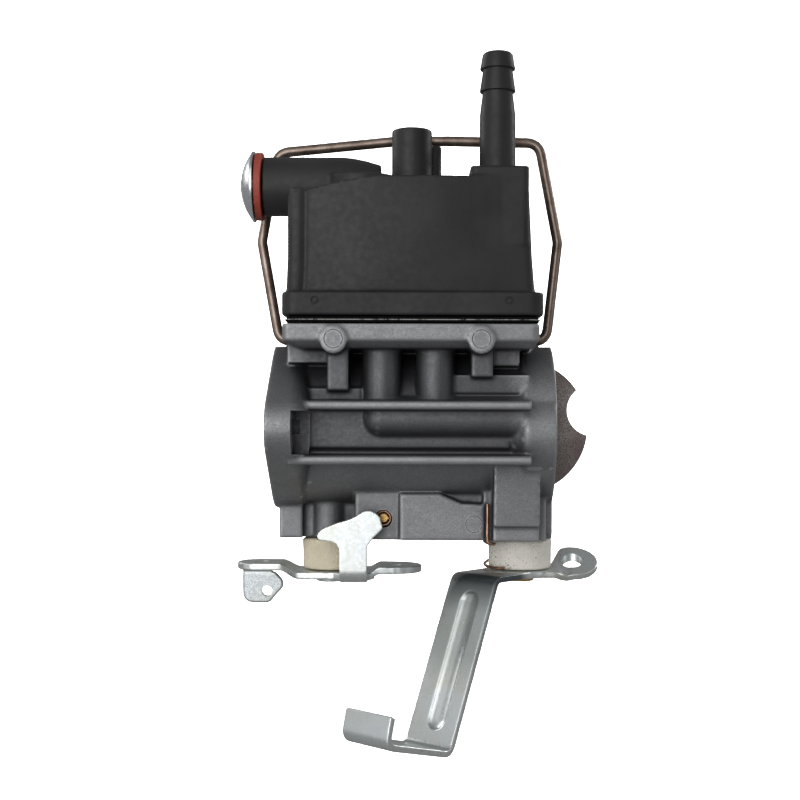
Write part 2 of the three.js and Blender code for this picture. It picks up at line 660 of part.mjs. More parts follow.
function idleSpring() {
  const [from, to] = [IDLE.front + 1.4, IDLE.front + 6.4];
  const turns = 6;
  const path = [];
  for (let i = 0; i <= turns * 12; i++) {
    const angle = (i / 12) * 2 * Math.PI;
    const along = from + ((to - from) * i) / (turns * 12);
    path.push([IDLE.x + 1.62 * Math.cos(angle), along, IDLE.z + 1.62 * Math.sin(angle)]);
  }
  return wire(path, 0.3, turns * 9, 6);
}

// ---------------------------------------------------------------- the whole carburetor
const FINISH = {
  casting: { color: 0x8b8d90, roughness: 0.55, metalness: 0.85 },
  moulding: { color: 0x1d1d1f, roughness: 0.55, metalness: 0 },
  zinc: { color: 0xc9cfd2, roughness: 0.3, metalness: 0.95 },
  chrome: { color: 0xe2e5e8, roughness: 0.12, metalness: 1 },
  brass: { color: 0xb58a45, roughness: 0.35, metalness: 0.95 },
  copper: { color: 0xb36a45, roughness: 0.35, metalness: 0.95 },
  steel: { color: 0x8a7d72, roughness: 0.35, metalness: 0.9 },
  bronzed: { color: 0x6e625d, roughness: 0.5, metalness: 0.7 },
  foam: { color: 0xc9c3b2, roughness: 0.95, metalness: 0 },
  rubber: { color: 0x161616, roughness: 0.8, metalness: 0 },
  fibre: { color: 0xb4442f, roughness: 0.6, metalness: 0 },
  float: { color: 0x2a2a2c, roughness: 0.6, metalness: 0 },
};

const group = new THREE.Group();

function add(name, made, finish) {
  const mesh = new THREE.Mesh(geometryOf(made), new THREE.MeshStandardMaterial(FINISH[finish]));
  mesh.name = name;
  group.add(mesh);
}

add("throttle_body", throttleBody(), "casting");
add("idle_passage_cup_plug", rod("y", 4, [10.3, 11], [WELCH.x, WELCH.z], 24), "zinc");

add("float_bowl", floatBowl(), "moulding");
add("bowl_gasket", bowlGasket(), "rubber");
add("bowl_plug_screw", plugScrew(), "chrome");
add("plug_sealing_washer", plugWasher(), "fibre");
add("bail_wire", bailWire(), "steel");

add("main_nozzle", mainNozzle(), "brass");
add("main_jet", mainJet(), "brass");
add("pilot_jet", pilotJet(), "brass");
add("needle_seat", needleSeat(), "brass");
add("inlet_needle", inletNeedle(), "brass");
add("float", float(), "float");
add("float_hinge_pin", rod("y", PIN.radius, [-7.4, 7.4], [PIN.x, PIN.z], 16), "steel");

add("throttle_shaft", throttleShaft(), "zinc");
add("throttle_plate", throttlePlate(), "brass");
add("throttle_plate_screw", throttleScrew(), "zinc");
add("throttle_lever", throttleLever(), "zinc");
add("throttle_foam_seal", foamSeal(THROTTLE, THROTTLE_LEVER.centre + GAP), "foam");

add("choke_shaft", chokeShaft(), "brass");
add("choke_plate", chokePlate(), "bronzed");
add("choke_plate_screw", chokeScrew(), "zinc");
add("choke_lever", chokeLever(), "zinc");
add("choke_foam_seal", foamSeal(CHOKE, CHOKE_LEVER.top + GAP), "foam");
add("choke_detent_spring", detentSpring(), "copper");

add("idle_mixture_screw", idleScrew(), "brass");
add("idle_screw_spring", idleSpring(), "copper");

export default group;
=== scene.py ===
"""A small-engine float carburetor, bowl up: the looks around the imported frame.

Shapes are drawn in millimetres in the frame's own axes (X along the bore, Y away from the camera, Z up), and
are turned into metres when they become objects.
"""

import math
import random

import bmesh
import bpy
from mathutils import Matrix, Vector


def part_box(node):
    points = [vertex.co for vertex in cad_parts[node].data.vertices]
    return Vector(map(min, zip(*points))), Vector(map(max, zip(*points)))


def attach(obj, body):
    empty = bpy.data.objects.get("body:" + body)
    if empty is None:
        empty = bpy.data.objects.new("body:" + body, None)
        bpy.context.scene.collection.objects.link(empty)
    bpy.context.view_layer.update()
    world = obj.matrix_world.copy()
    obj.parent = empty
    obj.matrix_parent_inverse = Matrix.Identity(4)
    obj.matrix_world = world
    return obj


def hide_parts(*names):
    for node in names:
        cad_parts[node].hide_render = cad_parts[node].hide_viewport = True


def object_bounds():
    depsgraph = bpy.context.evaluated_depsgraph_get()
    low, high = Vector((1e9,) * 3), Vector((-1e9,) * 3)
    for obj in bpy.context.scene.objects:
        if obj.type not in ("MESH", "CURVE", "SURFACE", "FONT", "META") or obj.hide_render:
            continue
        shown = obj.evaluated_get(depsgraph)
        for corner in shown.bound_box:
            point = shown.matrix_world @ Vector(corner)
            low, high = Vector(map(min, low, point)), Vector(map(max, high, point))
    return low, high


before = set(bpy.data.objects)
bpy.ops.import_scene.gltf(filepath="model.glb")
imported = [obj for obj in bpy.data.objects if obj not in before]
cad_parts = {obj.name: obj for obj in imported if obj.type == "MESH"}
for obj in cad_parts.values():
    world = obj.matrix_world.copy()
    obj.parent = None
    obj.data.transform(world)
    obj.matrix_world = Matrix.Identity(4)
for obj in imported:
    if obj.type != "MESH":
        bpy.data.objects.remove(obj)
cad_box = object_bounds()

MM = 0.001


def low_mm(node):
    return [round(v / MM, 2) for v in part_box(node)[0]]


def high_mm(node):
    return [round(v / MM, 2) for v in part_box(node)[1]]


def centre_mm(node):
    return [round((a + b) / 2 / MM, 2) for a, b in zip(*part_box(node))]


# ---- driving dimensions, in millimetres
BODY_LENGTH = high_mm("throttle_body")[0]
BODY_LOW = low_mm("throttle_body")[2]
THROTTLE_X = centre_mm("throttle_shaft")[0]
CHOKE_X = centre_mm("choke_shaft")[0]
TOWER_X = centre_mm("main_nozzle")[0]
PILOT = centre_mm("pilot_jet")[:2]
VALVE = centre_mm("inlet_needle")[:2]
PIN = centre_mm("float_hinge_pin")[::2]
IDLE_X, IDLE_Z = centre_mm("idle_mixture_screw")[::2]
CUP_X, CUP_Z = centre_mm("idle_passage_cup_plug")[::2]
PLUG_Y, PLUG_Z = centre_mm("bowl_plug_screw")[1:]
PLUG_FACE = low_mm("float_bowl")[0]
BAIL_Y, BAIL_Z = centre_mm("bail_wire")[1], 20.2

TUBE = 18.0
BOLT_Y, BOLT_RADIUS = 21.3, 3.3
INLET_RADIUS = 19.2
DECK_LOW, DECK_TOP = 18.3, 22.5
BOSS_X, BOSS_Z = (14.6, 46.6), 18.9
RAIL_Z, RAIL_Y = (4.8, -7.1), 23.6
PASSAGE_X, PASSAGE_Y, PASSAGE_Z, PASSAGE_RADIUS = 24.9, 15.5, 2.0, 4.9
IDLE_FRONT = -10.5
FUEL = (50.6, -14.0)
SHAFT_RADIUS = 2.4
THROTTLE_BORE, VENTURI, CHOKE_BORE = 13.0, 9.5, 16.1

RIM_X, RIM_Y, RIM_Z = (3.2, 60.2), 24.0, (24.3, 29.4)
WALL_X, WALL_Y = (4.2, 58.6), 20.4
BOWL_MIDDLE = 31.0
ROOF, WALL = 55.0, 2.4

LEVER_THICK = 1.6
THROTTLE_LEFT, THROTTLE_CENTRE, THROTTLE_RIGHT = -31.2, -33.3, -32.0
CHOKE_TOP, CHOKE_TWIST = -33.1, 0.48
ARM_WIDTH, ARM_THICK, ARM_REACH, ARM_LEAN = 13.0, 1.5, 16.4, 24.0
ARM_LENGTH, ARM_FOOT, ARM_RISE, ARM_HOOK = 39.0, 20.2, 15.0, 6.1
ARM_TURN = math.radians(-132.2)
FOAM_TOP = -25.95

CAST_VOXEL, LEVER_VOXEL, FLOAT_VOXEL = 0.34, 0.19, 0.5


# ---- primitives: (points, faces) in mm
def box(x, y, z):
    points = [(x[i & 1], y[i >> 1 & 1], z[i >> 2]) for i in range(8)]
    faces = [(0, 2, 3, 1), (4, 5, 7, 6), (0, 1, 5, 4), (2, 6, 7, 3), (0, 4, 6, 2), (1, 3, 7, 5)]
    return points, faces


def oriented(axis, u, v, w):
    """The point whose coordinate along the axis is w and whose others, in order, are u and v."""
    return {"x": (w, u, v), "y": (u, w, v), "z": (u, v, w)}[axis]


def rings(rows):
    """A closed tube through equally long rings of points, with a flat face at each end."""
    count = len(rows[0])
    points = [p for row in rows for p in row]
    faces = []
    for r in range(len(rows) - 1):
        for c in range(count):
            a, b = r * count + c, r * count + (c + 1) % count
            faces.append((a, b, b + count, a + count))
    faces.append(tuple(reversed(range(count))))
    faces.append(tuple(range((len(rows) - 1) * count, len(rows) * count)))
    return points, faces


def circle(axis, centre, radius, height, sides):
    u, v = centre
    turns = [2 * math.pi * i / sides for i in range(sides)]
    return [oriented(axis, u + radius * math.cos(a), v + radius * math.sin(a), height) for a in turns]


def lathe(axis, profile, centre, sides=96):
    """Turns (radius, height) pairs about a line along one axis, and closes both ends flat."""
    return rings([circle(axis, centre, radius, height, sides) for radius, height in profile])


def rod(axis, radius, span, centre, sides=96):
    return lathe(axis, [(radius, w) for w in span], centre, sides)


def ring_cut(axis, centre, inner, outer, span, sides=64):
    """A thin-walled closed ring, for cutting a circular groove."""
    corners = ((inner, span[0]), (outer, span[0]), (outer, span[1]), (inner, span[1]))
    points = [p for radius, height in corners for p in circle(axis, centre, radius, height, sides)]
    faces = []
    for k in range(4):
        here, there = k * sides, (k + 1) % 4 * sides
        for i in range(sides):
            after = (i + 1) % sides
            faces.append((here + i, there + i, there + after, here + after))
    return points, faces


def prism(axis, outline, span):
    """An outline in the two other coordinates, drawn out along the axis."""
    return rings([[oriented(axis, u, v, w) for u, v in outline] for w in span])


def rounded(u, v, radius, steps=8):
    """A rectangle's outline with rounded corners."""
    corners = [
        (u[1] - radius, v[0] + radius, -0.5), (u[1] - radius, v[1] - radius, 0),
        (u[0] + radius, v[1] - radius, 0.5), (u[0] + radius, v[0] + radius, 1),
    ]
    made = []
    for cu, cv, turn in corners:
        for i in range(steps + 1):
            angle = (turn + 0.5 * i / steps) * math.pi
            made.append((cu + radius * math.cos(angle), cv + radius * math.sin(angle)))
    return made


def arc(centre, radius, start, stop, steps=12):
    """Points on an arc, angles in degrees."""
    made = []
    for i in range(steps + 1):
        angle = math.radians(start + (stop - start) * i / steps)
        made.append((centre[0] + radius * math.cos(angle), centre[1] + radius * math.sin(angle)))
    return made


def bezier(*points, steps=12):
    """A Bezier curve through its end points, without the first of them."""
    made = []
    for i in range(1, steps + 1):
        row = [Vector(p) for p in points]
        while len(row) > 1:
            row = [a.lerp(b, i / steps) for a, b in zip(row, row[1:])]
        made.append(tuple(row[0]))
    return made


def smooth_path(points, steps=8):
    """A Catmull-Rom curve through the points."""
    pts = [Vector(p) for p in points]
    pts = [pts[0] * 2 - pts[1]] + pts + [pts[-1] * 2 - pts[-2]]
    made = []
    for i in range(1, len(pts) - 2):
        p0, p1, p2, p3 = pts[i - 1:i + 3]
        for s in range(steps):
            t = s / steps
            made.append(0.5 * (
                2 * p1 + (p2 - p0) * t + (2 * p0 - 5 * p1 + 4 * p2 - p3) * t ** 2
                + (3 * p1 - p0 - 3 * p2 + p3) * t ** 3
            ))
    return made + [pts[-2]]


def cornered_path(points, radius, steps=8):
    """Straight runs between the points, with each corner rounded to about the radius."""
    pts = [Vector(p) for p in points]
    made = [pts[0]]
    for before, at, after in zip(pts, pts[1:], pts[2:]):
        to_before, to_after = (before - at).normalized(), (after - at).normalized()
        half = to_before.angle(to_after) / 2
        back = min(radius / math.tan(half), (before - at).length * 0.48, (after - at).length * 0.48)
        start, stop = at + to_before * back, at + to_after * back
        for i in range(steps + 1):
            t = i / steps
            made.append(start * (1 - t) ** 2 + at * 2 * t * (1 - t) + stop * t ** 2)
    return made + [pts[-1]]


def tube(path, radius, sides):
    """A round wire along a path, with flat ends."""
    pts = [Vector(p) for p in path]
    side = (pts[1] - pts[0]).orthogonal().normalized()
    rows = []
    for i, p in enumerate(pts):
        along = (pts[min(i + 1, len(pts) - 1)] - pts[max(i - 1, 0)]).normalized()
        side = (side - along * side.dot(along)).normalized()
        up = along.cross(side)
        turns = [2 * math.pi * k / sides for k in range(sides)]
        rows.append([tuple(p + (side * math.cos(a) + up * math.sin(a)) * radius) for a in turns])
    return rings(rows)


# ---- objects
def piece(name, prims):
    """One object from several primitives, in metres, with its faces turned outwards."""
    bm = bmesh.new()
    for points, faces in prims:
        verts = [bm.verts.new((x * MM, y * MM, z * MM)) for x, y, z in points]
        for face in faces:
            bm.faces.new([verts[i] for i in face])
    bmesh.ops.recalc_face_normals(bm, faces=bm.faces)
    mesh = bpy.data.meshes.new("shape")
    bm.to_mesh(mesh)
    bm.free()
    obj = bpy.data.objects.new(name, mesh)
    bpy.context.scene.collection.objects.link(obj)
    return obj


def modified(obj, kind, **settings):
    """Adds one modifier with its settings and applies it."""
    mod = obj.modifiers.new("step", kind)
    for key, value in settings.items():
        setattr(mod, key, value)
    graph = bpy.context.evaluated_depsgraph_get()
    mesh = bpy.data.meshes.new_from_object(obj.evaluated_get(graph))
    obj.modifiers.clear()
    old = obj.data
    obj.data = mesh
    bpy.data.meshes.remove(old)
    return obj


def cut(obj, tools, solver="MANIFOLD"):
    """Takes tools that don't touch one another out of a piece."""
    tool = piece("tool", tools)
    modified(obj, "BOOLEAN", operation="DIFFERENCE", solver=solver, object=tool)
    bpy.data.objects.remove(tool)
    return obj


def reskin(obj, voxel, rounds):
    """Runs a piece's overlapping solids together into one skin with soft inner and outer corners."""
    modified(obj, "REMESH", mode="VOXEL", voxel_size=voxel * MM)
    return modified(obj, "SMOOTH", factor=0.5, iterations=rounds)


def moulded(name, prims, voxel, rounds):
    """A cast, pressed or moulded piece: its primitives under one soft skin."""
    return reskin(piece(name, prims), voxel, rounds)


def lighten(obj, share):
    """Keeps about this share of a piece's triangles."""
    return modified(obj, "DECIMATE", ratio=share)


def bevelled(obj, width, angle=35):
    """Rounds the edges sharper than the angle."""
    return modified(
        obj, "BEVEL", width=width * MM, segments=3, limit_method="ANGLE", angle_limit=math.radians(angle),
        harden_normals=False,
    )


def weigh(obj):
    """Lets large faces set the normals, so that slivers left by cuts don't glint."""
    return modified(obj, "WEIGHTED_NORMAL", keep_sharp=True)


def shade(obj, angle):
    """Smooth shading that keeps the edges sharper than the angle."""
    bm = bmesh.new()
    bm.from_mesh(obj.data)
    limit = math.radians(angle)
    for edge in bm.edges:
        edge.smooth = len(edge.link_faces) != 2 or edge.calc_face_angle(0) < limit
    for face in bm.faces:
        face.smooth = True
    bm.to_mesh(obj.data)
    bm.free()
    return obj


def finished(obj, body, slot, node=None, look=None):
    """Gives a piece its material, and ties it to the frame."""
    obj.data.materials.clear()
    obj.data.materials.append(MATERIALS[look or slot])
    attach(obj, body)
    if node:
        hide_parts(node)


# ---- materials
class Look:
    """A principled material and the few nodes that vary it."""

    def __init__(self, name, **values):
        self.material = bpy.data.materials.new(name)
        self.material.use_nodes = True
        self.tree = self.material.node_tree
        self.shader = self.tree.nodes["Principled BSDF"]
        for key, value in values.items():
            self.shader.inputs[key.replace("_", " ")].default_value = value
        self.where = self.tree.nodes.new("ShaderNodeTexCoord").outputs["Object"]

    def node(self, kind, inputs=(), **settings):
        made = self.tree.nodes.new("ShaderNode" + kind)
        for key, value in settings.items():
            setattr(made, key, value)
        for key, value in dict(inputs).items():
            if isinstance(value, bpy.types.NodeSocket):
                self.tree.links.new(value, made.inputs[key])
            else:
                made.inputs[key].default_value = value
        return made

    def noise(self, per_mm, detail=4, rough=0.5, stretch=(1, 1, 1), distortion=0.0):
        """Noise with a given number of features per millimetre."""
        size = self.node("Mapping", {"Vector": self.where, "Scale": [s / MM for s in stretch]})
        return self.node("TexNoise", {
            "Vector": size.outputs[0], "Scale": per_mm, "Detail": detail, "Roughness": rough,
            "Distortion": distortion,
        }).outputs[0]

    def cells(self, per_mm):
        """The distance to the nearest of scattered points, with a given number per millimetre."""
        size = self.node("Mapping", {"Vector": self.where, "Scale": [1 / MM] * 3})
        return self.node("TexVoronoi", {"Vector": size.outputs[0], "Scale": per_mm}).outputs["Distance"]

    def ramp(self, source, *stops):
        made = self.node("ValToRGB", {"Fac": source})
        ramp = made.color_ramp
        while len(ramp.elements) < len(stops):
            ramp.elements.new(0.5)
        for element, (place, colour) in zip(ramp.elements, stops):
            element.position = place
            element.color = (*colour, 1)
        return made.outputs[0]

    def levels(self, source, low, high, to_low=0.0, to_high=1.0):
        return self.node("MapRange", {0: source, 1: low, 2: high, 3: to_low, 4: to_high}).outputs[0]

    def place(self, axis):
        return self.node("SeparateXYZ", {0: self.where}).outputs[axis]

    def along(self, axis, start, stop):
        """Rises from 0 to 1 between two places along an axis, in millimetres."""
        return self.levels(self.place(axis), start * MM, stop * MM)

    def mix(self, share, first, second):
        made = self.node("Mix", data_type="RGBA")
        for index, value in ((0, share), (6, first), (7, second)):
            if isinstance(value, bpy.types.NodeSocket):
                self.tree.links.new(value, made.inputs[index])
            else:
                made.inputs[index].default_value = (*value, 1)
        return made.outputs[2]

    def math(self, operation, a, b=0.0):
        return self.node("Math", {0: a, 1: b}, operation=operation).outputs[0]

    def product(self, first, *others):
        for other in others:
            first = self.math("MULTIPLY", first, other)
        return first

    def colour(self, source):
        self.tree.links.new(source, self.shader.inputs["Base Color"])

    def rough(self, source, *levels):
        self.tree.links.new(self.levels(source, *levels), self.shader.inputs["Roughness"])

    def bump(self, source, height_mm, strength, under=None):
        made = self.node("Bump", {"Height": source, "Strength": strength, "Distance": height_mm * MM})
        if under:
            self.tree.links.new(under, made.inputs["Normal"])
        self.tree.links.new(made.outputs[0], self.shader.inputs["Normal"])
        return made.outputs[0]


def grey(value):
    return (value, value, value)


def painted_edge_highlight(look):
    """Painted highlight on outer edges, from the mesh's own pointiness."""
    return look.levels(look.node("NewGeometry").outputs["Pointiness"], 0.507, 0.54)


def painted_recess_shade(look):
    """Painted shade: the hollows between the deck and the lower rail, on both sides, where the deck's
    overhang shades them.
    """
    depth = look.levels(look.math("ABSOLUTE", look.place("Y")), 23.2 * MM, 21.4 * MM)
    height = look.product(look.along("Z", -8.5, -6.5), look.along("Z", 18.6, 17.2))
    return look.product(depth, height, look.product(look.along("X", 6.5, 9), look.along("X", 56.5, 52.5)))


def cast_metal():
    look = Look("cast_metal", Metallic=0.75)
    fine = look.noise(4.2, detail=5, rough=0.75)
    broad = look.noise(0.16, detail=3)
    tone = look.ramp(
        fine, (0.3, (0.165, 0.168, 0.178)), (0.5, (0.285, 0.289, 0.30)), (0.72, (0.44, 0.444, 0.453)),
    )
    stained = look.mix(look.levels(broad, 0.35, 0.7, 0.0, 0.4), tone, (0.19, 0.195, 0.205))
    # Painted shade: the colour darkens where ambient occlusion finds corners and hollows.
    open_air = look.node("AmbientOcclusion", {"Distance": 11 * MM}, samples=8).outputs["AO"]
    occlusion_shaded = look.mix(look.levels(open_air, 0.35, 0.95, 0.9, 0.0), stained, (0.045, 0.046, 0.051))
    # Painted highlight: outer edges are lightened in the colour.
    edge_highlighted = look.mix(look.product(painted_edge_highlight(look), 0.3), occlusion_shaded, (0.72, 0.73, 0.74))
    # Painted shade: the recess under the deck is darkened in the colour.
    look.colour(look.mix(look.product(painted_recess_shade(look), 0.6), edge_highlighted, (0.055, 0.056, 0.062)))
    look.rough(look.noise(1.2), 0.3, 0.7, 0.42, 0.58)
    pits = look.bump(look.noise(5.5, detail=3, rough=0.65), 0.05, 0.6)
    look.bump(look.noise(0.9, detail=2), 0.05, 0.35, under=pits)
    return look.material


def black_plastic():
    look = Look("black_plastic", IOR=1.5, Specular_IOR_Level=0.32)
    broad = look.noise(0.12, detail=3)
    tone = look.ramp(broad, (0.3, (0.018, 0.018, 0.0195)), (0.7, (0.028, 0.028, 0.0295)))
    # Painted sheen: a lighter patch on the left middle of the bowl, where a lamp's reflection falls.
    painted_sheen = look.product(look.along("X", 46, 22), look.along("Z", 31, 44))
    tone = look.mix(look.product(painted_sheen, 0.3), tone, (0.05, 0.05, 0.051))
    dust = look.levels(look.noise(2.2, detail=6, rough=0.8), 0.62, 0.8, 0.0, 0.35)
    look.colour(look.mix(dust, tone, (0.07, 0.07, 0.073)))
    look.rough(look.noise(0.7), 0.3, 0.7, 0.42, 0.56)
    grain = look.bump(look.cells(3.4), 0.012, 0.5)
    scratch = look.noise(0.7, detail=2, stretch=(0.05, 1, 1.6), distortion=0.6)
    look.bump(look.levels(scratch, 0.62, 0.66), 0.006, 0.5, under=grain)
    return look.material


def zinc_plate():
    """Bright plating, darker and speckled on the hanging tab, with painted shade up the choke arm that is
    darkest at its top bend.
    """
    look = Look("zinc_plate", Metallic=0.82)
    tone = look.ramp(
        look.noise(0.09, detail=3, distortion=0.8), (0.28, (0.65, 0.67, 0.61)), (0.45, (0.70, 0.73, 0.71)),
        (0.6, (0.72, 0.76, 0.77)), (0.75, (0.67, 0.72, 0.76)),
    )
    fleck = look.levels(look.noise(2.2, detail=3), 0.45, 0.8, 0.0, 0.12)
    plated = look.mix(fleck, tone, (0.46, 0.48, 0.49))
    speckled = look.levels(look.noise(3.0, rough=0.8), 0.42, 0.6, 0.3, 0.8)
    tab = look.product(look.along("X", 6, 4), look.along("Z", -33, -34))
    plated = look.mix(look.product(tab, speckled), plated, (0.22, 0.24, 0.26))
    # Painted reflection: the choke arm's upper run, and most of all its top bend, are darkened in the colour
    # for the dark surroundings they face.
    arm = look.product(look.along("X", 33, 36), look.along("Y", -8.5, -10.5))
    upper_arm_shade = look.product(arm, look.along("Z", -56, -50))
    plated = look.mix(look.product(upper_arm_shade, 0.55), plated, (0.42, 0.46, 0.45))
    bend = look.product(arm, look.along("Z", -41, -34.5))
    look.colour(look.mix(look.product(bend, 0.9), plated, (0.085, 0.10, 0.112)))
    look.rough(look.noise(1.6), 0.3, 0.75, 0.26, 0.42)
    look.bump(look.noise(1.5), 0.006, 0.3)
    return look.material


def chrome():
    look = Look("chrome", Metallic=1.0)
    look.colour(look.ramp(look.noise(0.5), (0.3, (0.80, 0.82, 0.84)), (0.7, (0.90, 0.92, 0.93))))
    look.rough(look.noise(1.2, detail=3), 0.3, 0.75, 0.24, 0.34)
    look.bump(look.noise(0.5, detail=2), 0.01, 0.2)
    return look.material


def turned_metal(name, dark, light):
    look = Look(name, Metallic=1.0)
    look.colour(look.ramp(look.noise(0.8), (0.3, dark), (0.7, light)))
    look.rough(look.noise(3.0), 0.3, 0.7, 0.25, 0.42)
    look.bump(look.noise(4.0, detail=2), 0.01, 0.4)
    return look.material


def spring_steel():
    look = Look("spring_steel", Metallic=0.8)
    look.colour(look.ramp(
        look.noise(0.3), (0.3, (0.17, 0.125, 0.10)), (0.5, (0.27, 0.21, 0.175)), (0.75, (0.36, 0.29, 0.25)),
    ))
    look.rough(look.noise(4.0, detail=3), 0.3, 0.7, 0.24, 0.42)
    look.bump(look.noise(5.0, detail=2), 0.01, 0.35)
    return look.material


def tinted_steel():
    look = Look("tinted_steel", Metallic=0.55)
    speck = look.noise(3.2, detail=5, rough=0.75)
    tone = look.ramp(
        speck, (0.34, (0.11, 0.095, 0.092)), (0.5, (0.26, 0.225, 0.218)), (0.66, (0.50, 0.45, 0.44)),
    )
    warm = look.levels(look.noise(0.14, detail=2), 0.35, 0.65, 0.0, 0.5)
    look.colour(look.mix(warm, tone, (0.16, 0.115, 0.105)))
    look.rough(look.noise(2.5), 0.3, 0.7, 0.4, 0.6)
    look.bump(speck, 0.02, 0.5)
    return look.material


def foam(name, tint, specks):
    """Foam of a pale tint, with pores and a share of dark specks."""
    look = Look(name, Roughness=0.95, Subsurface_Weight=0.15, Subsurface_Radius=(0.002, 0.0018, 0.0014))
    light = [min(1.0, c * 1.16) for c in tint]
    cream = look.ramp(look.noise(0.35, detail=5), (0.3, tint), (0.7, light))
    pores = look.cells(2.6)
    shaded = look.mix(look.levels(pores, 0.05, 0.3, 0.3, 0.0), cream, [c * 0.6 for c in tint])
    spots = [look.levels(look.cells(per_mm), 0.12, 0.17, specks, 0.0) for per_mm in (0.85, 1.5)]
    patch = look.levels(look.noise(0.3, detail=2), 0.42, 0.58, 0.15, 1.0)
    dirt = look.product(look.math("MAXIMUM", *spots), patch)
    look.colour(look.mix(dirt, shaded, (0.03, 0.027, 0.022)))
    look.bump(pores, 0.16, 0.8)
    return look.material


def rubber():
    """Black rubber with a painted highlight, broken here and there, along the bead that shows between the
    bowl and the deck.
    """
    look = Look("rubber", Roughness=0.8, Specular_IOR_Level=0.1)
    tone = look.ramp(look.noise(0.9), (0.3, grey(0.002)), (0.7, grey(0.006)))
    # Painted highlight: a pale line along the bead, mixed into the colour.
    bead = look.product(look.along("Z", 23.2, 23.26), look.along("Z", 23.46, 23.4))
    broken_highlight = look.levels(look.noise(0.5, detail=5, rough=0.7, stretch=(1, 1, 0.05)), 0.36, 0.5)
    look.colour(look.mix(look.product(bead, broken_highlight), tone, (0.42, 0.42, 0.41)))
    look.bump(look.noise(3.0), 0.02, 0.4)
    return look.material


def red_fibre():
    look = Look("red_fibre", Roughness=0.55)
    fibres = look.noise(0.9, detail=5, rough=0.7)
    look.colour(look.ramp(fibres, (0.3, (0.32, 0.05, 0.032)), (0.7, (0.50, 0.085, 0.055))))
    look.bump(look.noise(2.8), 0.03, 0.6)
    return look.material


def float_plastic():
    look = Look("float_plastic", Roughness=0.6)
    look.colour(look.ramp(look.noise(0.7), (0.3, grey(0.022)), (0.7, grey(0.04))))
    look.bump(look.cells(1.8), 0.03, 0.4)
    return look.material


MATERIALS = {
    "cast_metal": cast_metal(),
    "black_plastic": black_plastic(),
    "zinc_plate": zinc_plate(),
    "chrome": chrome(),
    "brass": turned_metal("brass", (0.46, 0.28, 0.09), (0.66, 0.44, 0.17)),
    "copper_wire": turned_metal("copper_wire", (0.36, 0.20, 0.13), (0.58, 0.36, 0.26)),
    "spring_steel": spring_steel(),
    "tinted_steel": tinted_steel(),
    "rubber": rubber(),
    "red_fibre": red_fibre(),
    "float_plastic": float_plastic(),
    "throttle_foam": foam("throttle_foam", (0.74, 0.67, 0.51), 0.02),
    "choke_foam": foam("choke_foam", (0.82, 0.79, 0.72), 0.9),
}


# ---- throttle body casting
def engine_flange_outline():
    radius, lobe = 19.0, 7.0
    lean = math.degrees(math.asin((radius - lobe) / BOLT_Y))
    return (
        arc((BOLT_Y, 0), lobe, lean - 90, 90 - lean) + arc((0, 0), radius, 90 - lean, 90 + lean)
        + arc((-BOLT_Y, 0), lobe, 90 + lean, 270 - lean) + arc((0, 0), radius, 270 - lean, 270 + lean)
    )


def shoulder(outline, stations):
    """A flange's outline drawn in step by step, so that its edge rolls over."""
    return rings([[(x, y * size, z * size) for y, z in outline] for x, size in stations])


def engine_flange():
    outward = ((0.4, 1), (5.7, 1), (6.7, 0.985), (7.6, 0.955), (8.4, 0.91), (8.9, 0.85))
    return [shoulder(engine_flange_outline(), outward), prism("x", engine_flange_outline(), (0, 5.7))]


def inlet_flange():
    """A round flange over a wide one that is two shallow lobes, with a foot down to the shaft bosses."""
    lobes = [(20.9 * math.cos(a), 14 * math.sin(a) - 1) for a in (math.pi * i / 48 for i in range(96))]
    disc = arc((0, 0), INLET_RADIUS, 0, 356.25, 95)
    inward = ((50.2, 0.82), (52.2, 0.85), (53.9, 0.89), (55.3, 0.94), (56.2, 0.985), (57, 1), (63.4, 1))
    return [
        shoulder(disc, inward), shoulder(lobes, inward), rod("x", INLET_RADIUS, (56.6, BODY_LENGTH), (0, 0)),
        prism("x", rounded((-9, 9), (BODY_LOW, -10), 2), (56.6, BODY_LENGTH)),
    ]


def air_passage(side):
    """A tube along one side that turns up at its left end, and the column beside it."""
    elbow = (PASSAGE_X, side * PASSAGE_Y, PASSAGE_Z)
    angles = [math.pi * (i + 0.5) / 24 for i in range(24)]
    ball = [(PASSAGE_RADIUS * math.sin(a), PASSAGE_Z - PASSAGE_RADIUS * math.cos(a)) for a in angles]
    return [
        rod("z", 4.3, (PASSAGE_Z, 18), elbow[:2]), rod("z", 4.3, (3, 18), (PILOT[0], elbow[1])),
        rod("x", PASSAGE_RADIUS, (PASSAGE_X, 56.6), elbow[1:]), lathe("z", ball, elbow[:2]),
    ]


def side_details(side):
    """Rails, bosses, ribs, shelves and the air passage on one side of the casting."""
    def span(near, far):
        return (-far, -near) if side < 0 else (near, far)

    rails = [prism("x", rounded(span(14, RAIL_Y), (z - 1, z + 1), 0.8), (4.7, 57.6)) for z in RAIL_Z]
    bosses = [rod("y", 2.95, span(12, 24.35), (x, BOSS_Z)) for x in BOSS_X]
    return rails + bosses + air_passage(side) + [
        box((8.4, 53.1), span(12, 18.2), (-4.7, 4.5)),
        box((4, 20.3), span(10, 17.4), (6, 8.7)),
        box((41, 57.6), span(8, 17), (7.6, 11.6)),
        box((13, 17.7), span(8, 20), (8, DECK_LOW)),
        box((44.6, 49.4), span(8, 19.6), (11, DECK_LOW)),
        box((49.3, 55.4), span(8, 17.2), (13.6, DECK_LOW)),
        box((4, 13.2), span(8, 16.4), (14.2, DECK_LOW)),
    ]


